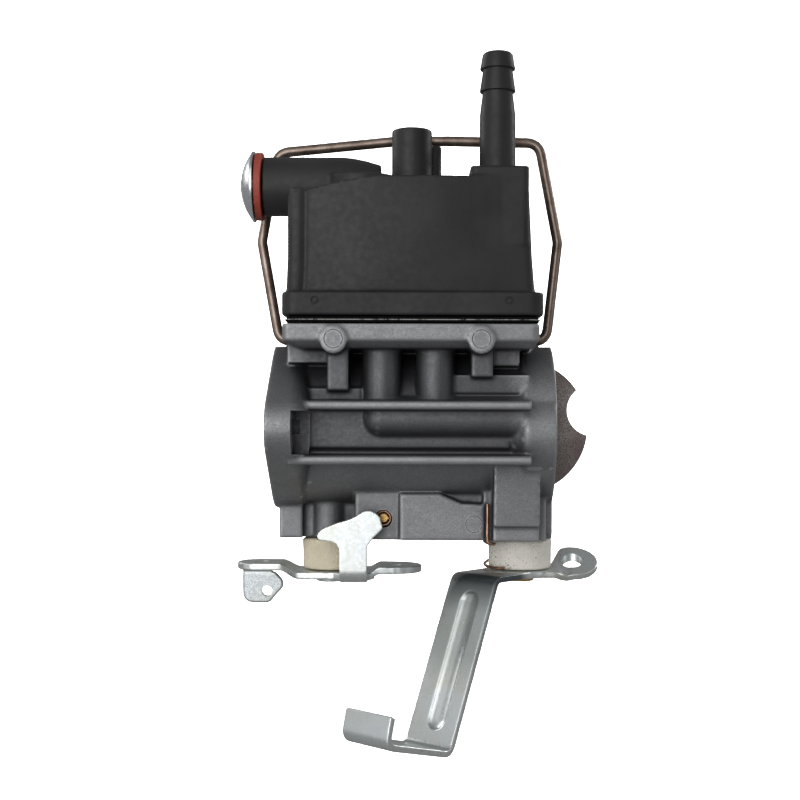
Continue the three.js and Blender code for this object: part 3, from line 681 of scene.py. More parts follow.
def lower_bosses():
    """The blocks below the bore that hold the shafts, the idle screw and the idle passage."""
    low = BODY_LOW
    sloped = [(28.9, low), (47.9, low), (47.9, -17.4), (43, -17.2), (38, -15), (28.9, -15)]
    choke_block = [(-16.6, -7.5), (-14.6, -22.2), (11, -22.2), (11, -7.5)]
    return [
        box((1.2, 6.6), (-6, 6), (low, -15)),
        rod("z", 5.2, (low, -14), (THROTTLE_X, 0)),
        box((THROTTLE_X, 30), (-4, 9), (low, -12)),
        box((18.8, 29), (IDLE_FRONT, 8), (low, -12)),
        prism("y", sloped, (IDLE_FRONT - 1, 9)),
        box((4, THROTTLE_X), (-3.5, 5), (low, -14)),
        prism("x", choke_block, (49.9, 60.2)),
        box((28.9, 50), (-9.6, 8), (-18.2, -11)),
        box((49.9, 60.2), (-13.4, 11), (low, -20)),
        box((47.8, 62), (-11, 9), (low, -9)),
        rod("z", 6.5, (low, -18), (CHOKE_X, 0)),
        rod("z", 4.6, (14, DECK_LOW), (CHOKE_X, 0)),
        rod("z", 4.6, (14, DECK_LOW), (THROTTLE_X, 0)),
        box((CUP_X - 5.5, CUP_X + 5.5), (6, 11.5), (low, -14.5)),
    ]


def deck():
    """The plate that the bowl sits on, bevelled below, with the hinge posts and the jet tower on it."""
    under, top = rounded((7.6, 57.9), (-21.6, 21.6), 1.6), rounded((3.4, 59.3), (-24, 24), 1.6)
    levels = ((under, 17.2), (top, 18.9), (top, DECK_TOP))
    posts = [box((51.2, 54.8), y, (DECK_TOP - 1, PIN[1] + 2.2)) for y in ((-7, -5), (5, 7))]
    return [rings([[(x, y, z) for x, y in outline] for outline, z in levels])] + posts + [
        rod("z", 4.6, (18, 46), (TOWER_X, 0)),
    ]


def bore_profile():
    """The bore's radius along it: throttle bore, narrow venturi, wide choke bore."""
    turns = [math.pi * i / 12 for i in range(1, 13)]
    fall, rise = (THROTTLE_BORE - VENTURI) / 2, (CHOKE_BORE - VENTURI) / 2
    neck = [(VENTURI + fall * (1 + math.cos(a)), 20 + 9 * a / math.pi) for a in turns]
    flare = [(VENTURI + rise * (1 - math.cos(a)), 30 + 9.84 * a / math.pi) for a in turns]
    return [(THROTTLE_BORE, -1), (THROTTLE_BORE, 20)] + neck + flare + [(CHOKE_BORE, 65)]


def drilled_holes():
    return [
        *(rod("x", BOLT_RADIUS, (-1, 7), (y, 0), 64) for y in (-BOLT_Y, BOLT_Y)),
        rod("z", 2.5, (-40, 17.2), (THROTTLE_X, 0), 64),
        rod("z", 2.5, (-40, 18.2), (CHOKE_X, 0), 64),
        rod("y", 2.05, (-20, -2.5), (IDLE_X, IDLE_Z), 64),
        rod("y", 4.3, (9.9, 20), (CUP_X, CUP_Z), 64),
        rod("z", 2.5, (5, 60), (TOWER_X, 0), 48),
        rod("z", 3.3, (19.6, 30), VALVE, 48),
        rod("z", 1.6, (8, 30), PILOT, 48),
        rod("y", 1.1, (-20, 20), PIN, 32),
        rod("x", 1.2, (0, 8), (BAIL_Y, BAIL_Z), 32),
        rod("x", 1.2, (55.5, 70), (BAIL_Y, BAIL_Z), 32),
        rod("z", 1.3, (20.2, 30), FUEL, 32),
    ]


def round_marks():
    """Shallow circular grooves in the ends of the deck's bosses and in the front block."""
    ends = [(x, sorted((side * 24.2, side * 25))) for x in BOSS_X for side in (-1, 1)]
    return [ring_cut("y", (x, 19.1), 1.85, 2.1, end) for x, end in ends] + [
        ring_cut("y", (45.7, -21.9), 1.75, 1.95, (-13, IDLE_FRONT - 0.88)),
    ]


def make_throttle_body():
    core = rod("x", TUBE, (1, BODY_LENGTH - 1), (0, 0), 160)
    sides = side_details(-1) + side_details(1)
    solids = [core] + engine_flange() + inlet_flange() + sides + lower_bosses() + deck()
    body = moulded("cast_body", solids, CAST_VOXEL, 6)
    cut(body, [box(x, (-40, 40), (18.4, 23)) for x in ((-3, 2.5), (60.8, 70))])
    cut(body, [lathe("x", bore_profile(), (0, 0), 128)])
    cut(body, [box((5.7, 12), y, (-5.9, 3.6)) for y in ((-30, -18.4), (18.4, 30))])
    cut(body, drilled_holes())
    cut(body, round_marks())
    weigh(shade(body, 50))
    finished(body, "root", "cast_metal", "throttle_body")


# ---- float bowl
def wall_outline(inset):
    """The bowl's wall from above: nearly flat ends, and a front and back that bulge outwards."""
    left, right, side = WALL_X[0] + inset, WALL_X[1] - inset, WALL_Y - inset
    front = [(left, 2 - side)]
    front += bezier(front[-1], (left, -0.1 - side), (left + 2.2, -0.1 - side), steps=8)
    front += [(left + 3.1, -side)]
    front += bezier(front[-1], (left + 3.9, 0.9 - side), (left + 4.6, 0.1 - side), steps=6)
    front += bezier(front[-1], (17.5, -1.9 - side), (30.5, -2.1 - side), (46, -0.7 - side), steps=24)
    front += [(right - 2, -side)]
    front += bezier(front[-1], (right, -side), (right, 2.5 - side), steps=8)
    return front + [(x, -y) for x, y in reversed(front)]


def roof(x):
    """The roof falls away towards the plug boss."""
    return ROOF - 5.6 * max(0.0, (27 - x) / 27) ** 1.7


def leaning(x, z, low):
    """The bowl's right end leans in as it rises."""
    return x - 1.4 * max(0.0, (x - BOWL_MIDDLE) / 27) * (z - low) / (ROOF - low)


def bowl_block(inset, drop, low, flare=0.0):
    """The bowl's walls under its roof, as one closed solid that widens towards its foot."""
    outline = wall_outline(inset)
    rows = []
    for z in (low, low + 3, low + 7, low + 13):
        grow = flare * max(0.0, 1 - (z - low) / 13) ** 2
        rows.append([
            (leaning(x, z, low) + math.copysign(grow, x - BOWL_MIDDLE), y + math.copysign(grow, y), z)
            for x, y in outline
        ])
    for share in (1.0, 0.02):
        rows.append([(leaning(x, ROOF, low), y * share, roof(x) - drop) for x, y in outline])
    return rings(rows)


def bowl_solids():
    plug = (PLUG_Y, PLUG_Z)
    return [
        prism("z", rounded(RIM_X, (-RIM_Y, RIM_Y), 3), RIM_Z),
        bowl_block(0, 0, RIM_Z[0], flare=0.9),
        rod("x", 6.7, (PLUG_FACE, 16), plug),
        lathe("x", [(6.7, 15), (6.5, 18), (5.9, 21), (4.9, 24.5)], plug),
        rod("z", 8, (50, 56.6), (20, -9)),
        box((4.7, 7.6), (-20.2, -8), (44, 52.5)),
        prism("z", rounded((44.3, 57.2), (-20.7, -7), 1.2), (40, 57.3)),
        rod("z", 4.65, (50, 68.6), (31.5, -3.2)),
        prism("z", rounded((27.8, 38.4), (-2, 7.2), 1.5), (50, 65.6)),
    ]


def make_barb():
    """The fuel spout with its two barbs and its open bore."""
    profile = [
        (4.05, 54), (4.0, 69.6), (3.9, 70.4), (3.4, 74.55), (3.45, 74.7), (3.95, 74.85), (4.0, 75.1),
        (3.35, 79.5), (3.4, 79.7), (3.9, 79.85), (3.92, 80.1), (3.4, 83.1), (3.0, 83.5), (1.5, 83.5),
        (1.3, 83.3), (1.3, 60),
    ]
    barb = shade(piece("barb", [lathe("z", profile, FUEL)]), 30)
    finished(barb, "root", "black_plastic")


def make_bowl():
    bowl = moulded("moulded_bowl", bowl_solids(), CAST_VOXEL, 4)
    cut(bowl, [bowl_block(WALL, WALL, RIM_Z[0] - 1)])
    cut(bowl, [rod("x", 3.5, (PLUG_FACE - 1, PLUG_FACE + 9), (PLUG_Y, PLUG_Z), 48)])
    faces = ((-25, 0.4 - RIM_Y), (RIM_Y - 0.4, 25))
    cut(bowl, [ring_cut("y", (x, 27.4), 0.45, 0.9, ends) for x in (10.6, 52.6) for ends in faces])
    weigh(shade(bowl, 45))
    finished(bowl, "root", "black_plastic", "float_bowl")


# ---- levers: bent strips
def strip(stations, thick):
    """A flat strip along X through stations of x, front, back, top and twist, each eased into the next."""
    steps = 8
    dense = []
    for here, there in zip(stations, stations[1:]):
        for i in range(steps):
            t = i / steps
            eased = 0.5 - 0.5 * math.cos(math.pi * t)
            dense.append([here[0] + (there[0] - here[0]) * t] + [
                a + (b - a) * eased for a, b in zip(here[1:], there[1:])
            ])
    dense.append(list(stations[-1]))
    rows = []
    for x, front, back, top, twist in dense:
        middle = (front + back) / 2
        across = (math.cos(twist), math.sin(twist))
        rows.append([
            (x, middle + (y - middle) * across[0] + drop * across[1],
             top + (y - middle) * across[1] - drop * across[0])
            for y, drop in ((front, thick), (back, thick), (back, 0), (front, 0))
        ])
    return rings(rows)


def round_end(tip, root, front, back, top, twist=0.0):
    """Stations of a strip's round end, from a slightly blunt tip to its root."""
    steps, first, blunt = 12, 0.04, 0.1414
    middle, half = (front + back) / 2, (back - front) / 2
    made = []
    for i in range(steps + 1):
        angle = math.pi * (first + (0.5 - first) * i / steps)
        x = tip + (root - tip) * (1 - math.cos(angle))
        reach = half * max(blunt, math.sin(angle))
        made.append((x, middle - reach, middle + reach, top, twist))
    return made


def bent(path, thick, width_span, place):
    """A sheet bent along a path drawn in two coordinates; place turns (s, z, w) into a point."""
    pts = [Vector(p) for p in path]
    near, far = [], []
    for i, p in enumerate(pts):
        along = (pts[min(i + 1, len(pts) - 1)] - pts[max(i - 1, 0)]).normalized()
        side = Vector((-along.y, along.x)) * thick / 2
        near.append(p + side)
        far.append(p - side)
    section = near + far[::-1]
    return rings([[place(p.x, p.y, w) for p in section] for w in width_span])


def tee_outline():
    return (
        [(15.5, -31), (15.5, -27.8)] + bezier((15.5, -27.8), (15.4, -25.7), (13.2, -25.5), steps=6)
        + bezier((11.6, -25.5), (9.6, -24.6), (11.6, -22.8), steps=8)
        + bezier((14.4, -21.5), (17.6, -20.9), (19.2, -19.9), steps=8)
        + bezier((20.2, -19.2), (22.6, -17.8), (24.6, -20.2), steps=8)
        + bezier((25.5, -22.2), (24.4, -23.6), (23.0, -24.8), steps=8)
        + bezier((21.7, -26.2), (21.7, -28.3), steps=4) + [(21.7, -31)]
    )


def hanging_tab_outline():
    return (
        [(-6.8, -31.8), (-6.8, -37.6)] + bezier((-6.8, -38.2), (-6.7, -40.3), (-4.2, -40.3), steps=8)
        + bezier((-1.6, -40.4), (-0.4, -40.2), (0.2, -39.0), steps=6)
        + bezier((1.2, -37.8), (3.0, -36.6), (1.9, -34.8), steps=8)
        + bezier((1.2, -33.6), (-0.6, -33.2), (-1.2, -32.6), steps=5) + [(-1.4, -31.8)]
    )


def make_throttle_lever():
    left, centre, right = THROTTLE_LEFT, THROTTLE_CENTRE, THROTTLE_RIGHT
    stations = (
        round_end(-8.5, -4, -8.8, 1.6, left)
        + [(1.4, -8.8, 1.6, left, 0), (5.7, -7.7, 5.4, centre, 0), (8.8, -8, 7.6, centre, 0),
           (17.5, -8.4, 7.6, centre, 0), (21.6, -9, 5.8, centre, 0), (24.5, -8.8, 4.5, right, 0),
           (27.4, -8.7, 4.1, right, 0)]
        + round_end(34, 28.4, -8.6, 4, right)[::-1]
    )
    level = centre - LEVER_THICK / 2
    bend = cornered_path([(-6, level), (-14.4, level), (-14.4, -29)], 2.0)
    neck = bent(bend, LEVER_THICK, (15.5, 21.7), lambda s, z, w: (w, s, z))
    gusset = prism("z", [(13, -7), (15.5, -10.5), (21.7, -10.5), (23.2, -7)], (centre - LEVER_THICK, centre))
    lever = moulded("throttle_lever_pressing", [
        strip(stations, LEVER_THICK), neck, gusset, prism("y", tee_outline(), (-15.2, -13.6)),
        prism("y", hanging_tab_outline(), (-7.4, -5.8)), rod("z", 0.9, (-38.6, -31.8), (-6.1, -6.4), 32),
    ], LEVER_VOXEL, 3)
    cut(lever, [
        rod("z", 2.3, (-60, -20), (THROTTLE_X, 0), 64), rod("z", 2.1, (-33.2, -20), (-2.5, -3.8), 64),
        rod("z", 1.85, (-60, -20), (28.5, -3.2), 64), rod("y", 1.2, (-20, -5), (-1.4, -37.6), 48),
    ])
    shade(lighten(lever, 0.5), 40)
    finished(lever, "throttle", "zinc_plate", "throttle_lever")


def arm_place(s, z, w):
    """A point of the choke arm from its distance from the shaft, its height and its offset sideways."""
    along = (math.cos(ARM_TURN), math.sin(ARM_TURN))
    return CHOKE_X + s * along[0] - w * along[1], s * along[1] + w * along[0], z


def arm_direction(s, z, w):
    return Vector(arm_place(s, z, w)) - Vector(arm_place(0, 0, 0))


def capsule(start, stop, width, height, outward, sideways):
    """A long low ridge with round ends, flattened along its outward direction."""
    along = (stop - start).normalized()
    length = (stop - start).length
    turns = [2 * math.pi * k / 32 for k in range(32)]
    rows = []
    for i in range(25):
        reach = 0.5 - 0.5 * math.cos(math.pi * i / 24)
        place = start + along * (length * reach)
        from_end = min(reach, 1 - reach) * length
        share = math.sqrt(max(0.0, 1 - (1 - min(1.0, from_end / (width / 2))) ** 2)) or 0.01
        across, above = sideways * (width / 2 * share), outward * (height * share)
        rows.append([tuple(place + across * math.cos(a) + above * math.sin(a)) for a in turns])
    return rings(rows)


def make_choke_lever():
    """A bent arm with a groove pressed into it, and a strip that twists up into an eye."""
    top = CHOKE_TOP
    level = top - ARM_THICK / 2
    lean, rise = math.radians(ARM_LEAN - 90), math.radians(ARM_RISE)
    start = Vector((3.2, level))
    bend = Vector((ARM_REACH, level))
    heel = bend + ARM_LENGTH * Vector((math.cos(lean), math.sin(lean)))
    toe = heel + ARM_FOOT * Vector((math.cos(rise), math.sin(rise)))
    tip = toe + ARM_HOOK * Vector((-math.sin(rise), math.cos(rise)))
    line = cornered_path([start, bend, heel, toe, tip], 2.3)
    arm = bent(line, ARM_THICK, (-ARM_WIDTH / 2, ARM_WIDTH / 2), arm_place)

    down = Vector(arm_place(*heel, 0)) - Vector(arm_place(*bend, 0))
    outward = arm_direction(math.sin(-lean), math.cos(lean), 0)
    sideways = arm_direction(0, 0, 1)
    middle = Vector(arm_place(*bend, 0.6))
    hollow = middle + outward * (ARM_THICK / 2 + 0.1)
    groove = capsule(hollow + down * 0.085, hollow + down * 0.89, 4.9, 0.95, outward, sideways)
    swell = middle - outward * (ARM_THICK / 2 - 0.2)
    rib = capsule(swell + down * 0.07, swell + down * 0.905, 5.6, 0.85, outward, sideways)

    stations = (
        [(CHOKE_X - 3, -7, 7, top, 0), (64.2, -6.4, 5.8, top, 0), (67.4, -6.2, 5.6, top + 1.6, CHOKE_TWIST)]
        + round_end(75.25, 69.2, -6.2, 5.6, top + 1.9, CHOKE_TWIST)[::-1]
    )
    hub = rod("z", 8, (top - LEVER_THICK, top), (CHOKE_X, 0))
    lever = moulded("choke_lever_pressing", [hub, strip(stations, LEVER_THICK), arm, rib], LEVER_VOXEL, 1)
    cut(lever, [groove])
    reskin(lever, LEVER_VOXEL, 7)
    cut(lever, [rod("z", 2.3, (-60, -20), (CHOKE_X, 0), 64), rod("z", 2.5, (-40, -20), (69.2, -0.3), 64)])
    shade(lighten(lever, 0.5), 40)
    finished(lever, "choke", "zinc_plate", "choke_lever")


# ---- wires
def wire(name, path, radius, sides, body, slot, node):
    made = shade(piece(name, [tube(path, radius, sides)]), 50)
    finished(made, body, slot, node)


def make_bail():
    z = BAIL_Z
    corners = [
        (6, z), (0.2, z), (-3.95, 43.6), (-0.3, 64.7), (26.6, 67.4), (40, 67.6), (61.6, 67.2), (66.05, 43.6),
        (63.4, z), (57, z),
    ]
    path = cornered_path([(x, BAIL_Y, height) for x, height in corners], 3.8, 10)
    wire("bail_spring_wire", path, 1.2, 32, "bail", "spring_steel", "bail_wire")


def make_detent_spring():
    path = smooth_path([
        (48.7, -11.9, -17.3), (48.7, -11.9, -21.5), (48.7, -11.9, -25.4), (49.3, -11.8, -26.2),
        (50.3, -11, -26.4), (50.2, -9.6, -26.5), (49.3, -7.6, -26.6), (48.7, -3, -26.7), (48.8, 2, -26.8),
        (49.8, 5.6, -27.3), (51.2, 7.2, -28.6), (51.4, 7.4, -30.2), (50.6, 6.4, -31.6), (49.2, 3.6, -32.1),
        (48.8, 0, -32.2), (49.4, -4, -32.3), (50.9, -6.9, -32.3), (52.8, -8.2, -32.1),
    ])
    wire("detent_wire", path, 0.34, 16, "root", "copper_wire", "choke_detent_spring")


def make_idle_spring():
    first, length, radius, turns, steps = IDLE_FRONT + 1.4, 5.0, 1.62, 6, 32
    path = []
    for i in range(turns * steps + 1):
        angle = 2 * math.pi * i / steps
        along = first + length * i / (turns * steps)
        path.append((IDLE_X + radius * math.cos(angle), along, IDLE_Z + radius * math.sin(angle)))
    wire("idle_spring_coil", path, 0.3, 16, "root", "copper_wire", "idle_screw_spring")


# ---- foam seals
def make_foam_seal(name, node, centre_x, radius, low):
    """A short column of foam, a little narrower below, with an uneven skin."""
    rng = random.Random(name)
    high, steps = FOAM_TOP, 22
    profile = [(2.95, low + 0.1), (radius - 0.6, low + 0.02), (radius - 0.25, low + 0.35)]
    for i in range(1, steps):
        share = i / steps
        waist = 0.2 * (1 - share) + 0.07 * math.sin(math.pi * share)
        profile.append((radius - waist, low + 0.4 + (high - low - 0.7) * share))
    profile += [(radius - 0.25, high - 0.2), (radius - 0.6, high), (2.95, high)]
    points, faces = lathe("z", profile, (centre_x, 0), 160)
    uneven = []
    for x, y, z in points:
        off = Vector((x - centre_x, y))
        if off.length > radius * 0.8:
            off *= 1 - rng.random() * 0.011
        uneven.append((centre_x + off.x, off.y, z))
    seal = piece(name, [(uneven, faces)])
    cut(seal, [rod("z", 2.9, (low - 1, high + 1), (centre_x, 0), 64)], "EXACT")
    shade(seal, 60)
    finished(seal, "root", "foam", node, look=name)


# ---- turned and pressed pieces
def turned(name, axis, profile, centre, body, slot, node, cuts=(), sides=96):
    made = piece(name, [lathe(axis, profile, centre, sides)])
    for tool in cuts:
        cut(made, [tool], "EXACT")
    finished(shade(made, 30), body, slot, node)


def make_plug():
    """The domed plug screw and its washer."""
    centre = (PLUG_Y, PLUG_Z)
    face, seat = PLUG_FACE - 2.2, PLUG_FACE
    curve, rim = 12.6, 7.85
    angles = [math.asin(rim / curve) * (1 - i / 14) for i in range(15)]
    dome = [(8.05, face), (8.05, face - 0.45)]
    dome += [(curve * math.sin(a), face - 3.25 + curve * (1 - math.cos(a))) for a in angles]
    thread = [(0.3, seat + 3.3), (2.9, seat + 3.3)]
    for i in range(6):
        thread += [(3.2, seat + 3.0 - i * 0.6), (2.8, seat + 2.7 - i * 0.6)]
    thread += [(3.2, seat - 0.6), (3.2, face)]
    turned("domed_plug", "x", thread + dome, centre, "root", "chrome", "bowl_plug_screw", sides=128)
    washer = [
        (3.6, face + 0.35), (7.55, face + 0.35), (7.7, face + 0.5), (7.7, face + 1.75), (7.55, face + 1.9),
        (3.6, face + 1.9),
    ]
    turned("fibre_washer", "x", washer, centre, "root", "red_fibre", "plug_sealing_washer",
           cuts=[rod("x", 3.5, (-10, 5), centre, 64)])


def rim_rounded(radius, low, high, edge):
    """The profile of a disc with rounded rims."""
    return [
        (radius - edge, low), (radius - edge * 0.3, low + edge * 0.3), (radius, low + edge),
        (radius, high - edge), (radius - edge * 0.3, high - edge * 0.3), (radius - edge, high),
    ]


def make_plates():
    """The choke plate with the bite out of its edge, and the throttle plate."""
    choke, throttle = (CHOKE_X, 0), (0, 0)
    bite = rod("y", 6, (-9, 9), (73.8, 3.9))
    turned("choke_butterfly", "y", rim_rounded(15.6, -1.5, -0.5, 0.15), choke, "choke", "tinted_steel",
           "choke_plate", cuts=[bite, rod("y", 1.2, (-9, 9), choke, 32)], sides=160)
    turned("throttle_butterfly", "x", rim_rounded(12.6, 11.2, 12.2, 0.15), throttle, "throttle", "brass",
           "throttle_plate", cuts=[rod("x", 1.2, (0, 30), throttle, 32)], sides=128)


def screw_profile(shank, face):
    """A round-headed screw's profile, its head on the lower side of the plate's face."""
    shape = [(0.8, -shank), (0.8, 0.3), (1.9, 0.3), (1.9, 0.85), (1.7, 1.15), (1.2, 1.4), (0.4, 1.5)]
    return [(radius, face - height) for radius, height in shape]


def shaft_profile(top, bottom):
    """A shaft peened over at its foot, stepped through the lever, and rounded at its top."""
    r = SHAFT_RADIUS
    return [
        (r + 0.6, bottom - 1.2), (r + 0.85, bottom - 1.0), (r + 0.9, bottom - 0.5), (r + 0.6, bottom - 0.3),
        (r - 0.4, bottom - 0.3), (r - 0.4, bottom + 2.1), (r - 0.15, bottom + 2.1), (r, bottom + 2.25),
        (r, top - 0.3), (r - 0.3, top),
    ]


def make_shafts():
    """Both shafts, each cut flat for its plate, and the screws that hold the plates."""
    throttle, choke = (THROTTLE_X, 0), (CHOKE_X, 0)
    flat = box((THROTTLE_X - 4, THROTTLE_X - 0.2), (-5, 5), (-12.8, 12.8))
    profile = shaft_profile(high_mm("throttle_shaft")[2], THROTTLE_CENTRE - LEVER_THICK)
    turned("throttle_spindle", "z", profile, throttle, "throttle", "zinc_plate", "throttle_shaft",
           cuts=[flat, rod("x", 1.05, (0, 30), (0, 0), 32)])
    flat = box((CHOKE_X - 5, CHOKE_X + 5), (-4, -0.2), (-15.9, 15.9))
    profile = shaft_profile(high_mm("choke_shaft")[2], CHOKE_TOP - LEVER_THICK)
    turned("choke_spindle", "z", profile, choke, "choke", "brass", "choke_shaft",
           cuts=[flat, rod("y", 1.05, (-9, 9), choke, 32)])
    turned("throttle_screw", "x", screw_profile(3.2, 11.2), (0, 0), "throttle", "zinc_plate",
           "throttle_plate_screw", cuts=[box((9.0, 10.1), (-3, 3), (-0.25, 0.25))], sides=48)
    turned("choke_screw", "y", screw_profile(3, -1.5), choke, "choke", "zinc_plate", "choke_plate_screw",
           cuts=[box((CHOKE_X - 3, CHOKE_X + 3), (-3.6, -2.6), (-0.25, 0.25))], sides=48)


def make_main_jet():
    """The nozzle up the tower and the jet screwed into its top."""
    tower = (TOWER_X, 0)
    nozzle = [(2.0, 6.2), (2.2, 6.4), (2.2, 39.3), (2.0, 39.5)]
    turned("emulsion_tube", "z", nozzle, tower, "root", "brass", "main_nozzle",
           cuts=[rod("z", 0.9, (5, 45), tower, 32)], sides=48)
    jet = [
        (2.2, 39.8), (2.2, 46.1), (2, 46.1), (2, 46.35), (3.2, 46.35), (3.4, 46.55), (3.4, 47.4),
        (3.2, 47.6),
    ]
    turned("main_jet_body", "z", jet, tower, "root", "brass", "main_jet",
           cuts=[rod("z", 0.6, (30, 50), tower, 32), box((27, 36), (-0.4, 0.4), (46.9, 50))], sides=64)


def make_pilot_jet():
    profile = [(1.3, 10), (1.3, 22.8), (2.1, 22.8), (2.1, 24.2), (1.9, 24.4)]
    slot = box((33, 41), (PILOT[1] - 0.35, PILOT[1] + 0.35), (23.6, 26))
    turned("pilot_jet_body", "z", profile, PILOT, "root", "brass", "pilot_jet",
           cuts=[rod("z", 0.4, (5, 30), PILOT, 24), slot], sides=48)


def make_inlet_valve():
    """The fuel inlet's seat, the needle in it, and the pin that the float hangs on."""
    seat = [(3, 19.9), (3, 22.8), (4.1, 22.8), (4.1, 24.1), (3, 24.1), (3, 25.8), (2.8, 26)]
    turned("needle_seat_body", "z", seat, VALVE, "root", "brass", "needle_seat",
           cuts=[rod("z", 1.6, (10, 30), VALVE, 48)], sides=64)
    needle = [
        (0.15, 23.4), (0.5, 23.9), (1.2, 25), (1.2, 26.5), (1.9, 27), (1.9, 29.8), (1.7, 30), (0.8, 30.4),
        (0.8, 31.1),
    ]
    turned("float_needle", "z", needle, VALVE, "needle", "brass", "inlet_needle", sides=48)
    pin = rim_rounded(1.0, -7.4, 7.4, 0.2)
    turned("hinge_pin", "y", pin, PIN, "root", "spring_steel", "float_hinge_pin", sides=32)


def make_idle_screw():
    head = IDLE_FRONT + 2.2
    profile = [
        (0.95, head), (1.15, head + 0.2), (1.15, head + 2.6), (0.85, head + 2.8), (0.85, head + 4.3),
        (0.25, head + 5.4), (0.1, head + 5.5),
    ]
    slot = box((IDLE_X - 2, IDLE_X + 2), (head - 1, head + 0.6), (IDLE_Z - 0.3, IDLE_Z + 0.3))
    turned("idle_screw", "y", profile, (IDLE_X, IDLE_Z), "idle_screw", "brass", "idle_mixture_screw",
           cuts=[slot], sides=48)


def make_cup_plug():
    profile = [
        (3.6, 10.3), (4, 10.3), (4, 10.9), (3.85, 11), (3.3, 11), (3.1, 10.8), (0.4, 10.65), (0.4, 10.35),
    ]
    turned("cup_plug", "y", profile, (CUP_X, CUP_Z), "root", "zinc_plate", "idle_passage_cup_plug", sides=64)


def make_float():
    body = moulded("float_foam", [
        prism("z", rounded((13, 42.4), (-14.4, 14.4), 3), (32.5, 41.5)),
        box((40, PIN[0]), (-4.4, 4.4), (31.4, 33.4)), rod("y", 2.2, (-4.4, 4.4), PIN),
    ], FLOAT_VOXEL, 4)
    cut(body, [rod("z", 8, (20, 50), (TOWER_X, 0))])
    cut(body, [rod("y", 1.1, (-9, 9), PIN, 32)])
    shade(lighten(body, 0.4), 40)
    finished(body, "float_arm", "float_plastic", "float")


def make_gasket():
    """A frame of rubber with a low bead round its outer edge."""
    levels = ((22.8, 0.35), (23.15, 0.35), (23.24, 0.05), (23.42, 0), (23.5, 0.4), (24, 0.4))
    gasket = piece("bowl_seal", [rings([
        [(x, y, z) for x, y in rounded((3.8 + inset, 59.6 - inset), (inset - 23.7, 23.7 - inset), 2.4)]
        for z, inset in levels
    ])])
    window = [(7.6, -19), (46.4, -19), (46.4, -9.8), (55.4, -9.8), (55.4, 19), (7.6, 19)]
    cut(gasket, [prism("z", window, (20, 30)), rod("z", 1.6, (20, 30), FUEL, 48)], "EXACT")
    shade(bevelled(gasket, 0.15), 40)
    finished(gasket, "root", "rubber", "bowl_gasket")


def make_carburetor():
    make_throttle_body()
    make_bowl()
    make_barb()
    make_throttle_lever()
    make_choke_lever()
    make_bail()
    make_detent_spring()
    make_idle_spring()
    make_foam_seal("throttle_foam", "throttle_foam_seal", THROTTLE_X, 6.6, THROTTLE_CENTRE + 0.3)
    make_foam_seal("choke_foam", "choke_foam_seal", CHOKE_X, 7.5, CHOKE_TOP + 0.3)
    make_plug()
    make_plates()
    make_shafts()
    make_main_jet()
    make_pilot_jet()
    make_inlet_valve()
    make_idle_screw()
    make_cup_plug()
    make_float()
    make_gasket()


# ---- light, floor and camera, in metres
def area_light(name, place, target, size, power):
    data = bpy.data.lights.new(name, "AREA")
    data.shape = "RECTANGLE"
    data.size, data.size_y = size
    data.energy = power
    lamp = bpy.data.objects.new(name, data)
    lamp.location = place
    lamp.rotation_euler = (Vector(target) - Vector(place)).to_track_quat("-Z", "Y").to_euler()
    bpy.context.scene.collection.objects.link(lamp)


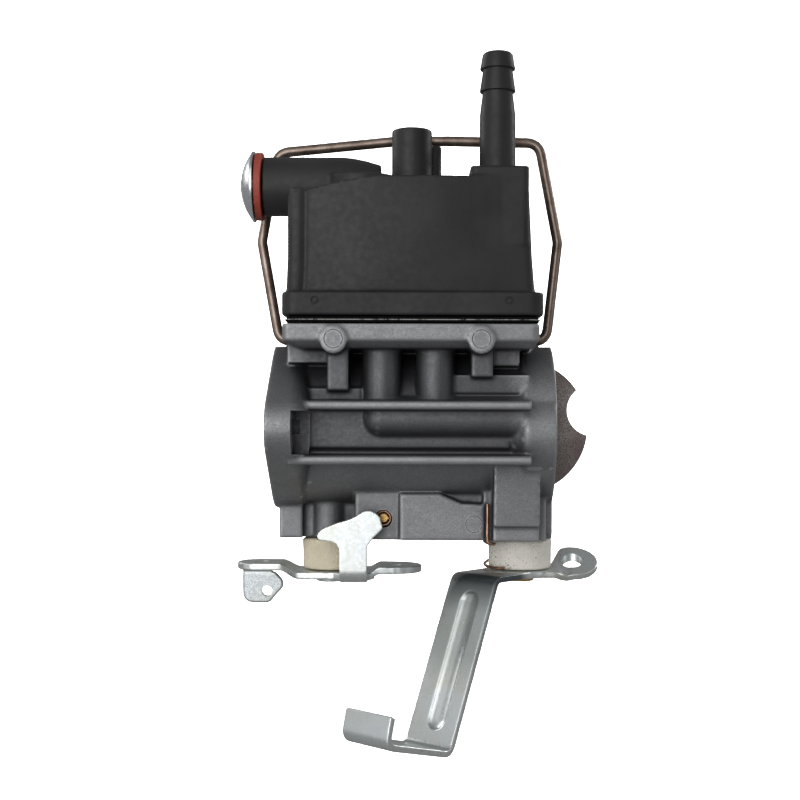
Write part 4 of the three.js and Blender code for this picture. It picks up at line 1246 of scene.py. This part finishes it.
def make_lights():
    """Four soft lamps on the part, and three that only brighten the backdrop behind it."""
    middle = (0.031, 0, 0.005)
    area_light("key", (-0.25, -0.85, 0.75), middle, (0.9, 0.5), 1.2)
    area_light("front", (-0.45, -1.25, 0.15), middle, (1.1, 0.9), 8.6)
    area_light("fill", (0.95, -0.45, 0.25), middle, (0.4, 0.8), 0.7)
    area_light("left", (-0.95, -0.35, 0.2), middle, (0.5, 0.9), 0.9)
    area_light("backdrop_left", (-0.8, 0.5, 0.5), (-0.2, 1.6, 0.1), (0.5, 0.5), 26)
    area_light("backdrop_right", (0.9, 0.5, 0.5), (0.3, 1.6, 0.1), (0.5, 0.5), 26)
    area_light("floor_light", (0.03, 0.6, 0.4), (0.03, 1.6, -0.1), (1.2, 0.4), 16)


def make_backdrop():
    """A pale floor that sweeps up into a pale wall, well below and behind the part."""
    low = cad_box[0][2] - 0.22
    start, wall, sweep, height, half_width = 0.02, 1.6, 0.6, 0.85, 3.0
    turns = [math.pi / 24 * i for i in range(13)]
    curve = [(wall - sweep + sweep * math.sin(a), low + sweep - sweep * math.cos(a)) for a in turns]
    profile = [(start, low)] + curve + [(wall, height)]
    points = [(side, y, z) for y, z in profile for side in (-half_width, half_width)]
    mesh = bpy.data.meshes.new("backdrop")
    mesh.from_pydata(points, [], [(2 * i, 2 * i + 1, 2 * i + 3, 2 * i + 2) for i in range(len(profile) - 1)])
    for polygon in mesh.polygons:
        polygon.use_smooth = True
    drop = bpy.data.objects.new("backdrop", mesh)
    bpy.context.scene.collection.objects.link(drop)
    look = Look("backdrop_paper", Roughness=0.9)
    look.colour(look.ramp(look.noise(0.02), (0.4, grey(0.86)), (0.6, grey(0.88))))
    mesh.materials.append(look.material)
    drop.visible_glossy = False
    drop.visible_diffuse = False


def make_world():
    world = bpy.data.worlds.new("studio")
    world.use_nodes = True
    background = world.node_tree.nodes["Background"]
    background.inputs["Color"].default_value = (1, 1, 1, 1)
    background.inputs["Strength"].default_value = 0.21
    bpy.context.scene.world = world


def make_camera():
    """A level camera 300 mm in front of the bore's axis, rolled a little."""
    roll = -0.15
    data = bpy.data.cameras.new("camera")
    data.lens = 57.6
    data.sensor_width = 36
    data.clip_start = 0.01
    data.shift_x = -0.0125
    data.shift_y = 0.01875
    camera = bpy.data.objects.new("camera", data)
    camera.location = (0.0312, -0.300, 0.0027)
    camera.rotation_euler = (math.pi / 2, math.radians(roll), 0)
    bpy.context.scene.collection.objects.link(camera)
    bpy.context.scene.camera = camera


make_carburetor()
make_backdrop()
make_world()
make_camera()
make_lights()
bpy.context.scene.view_settings.view_transform = "Standard"
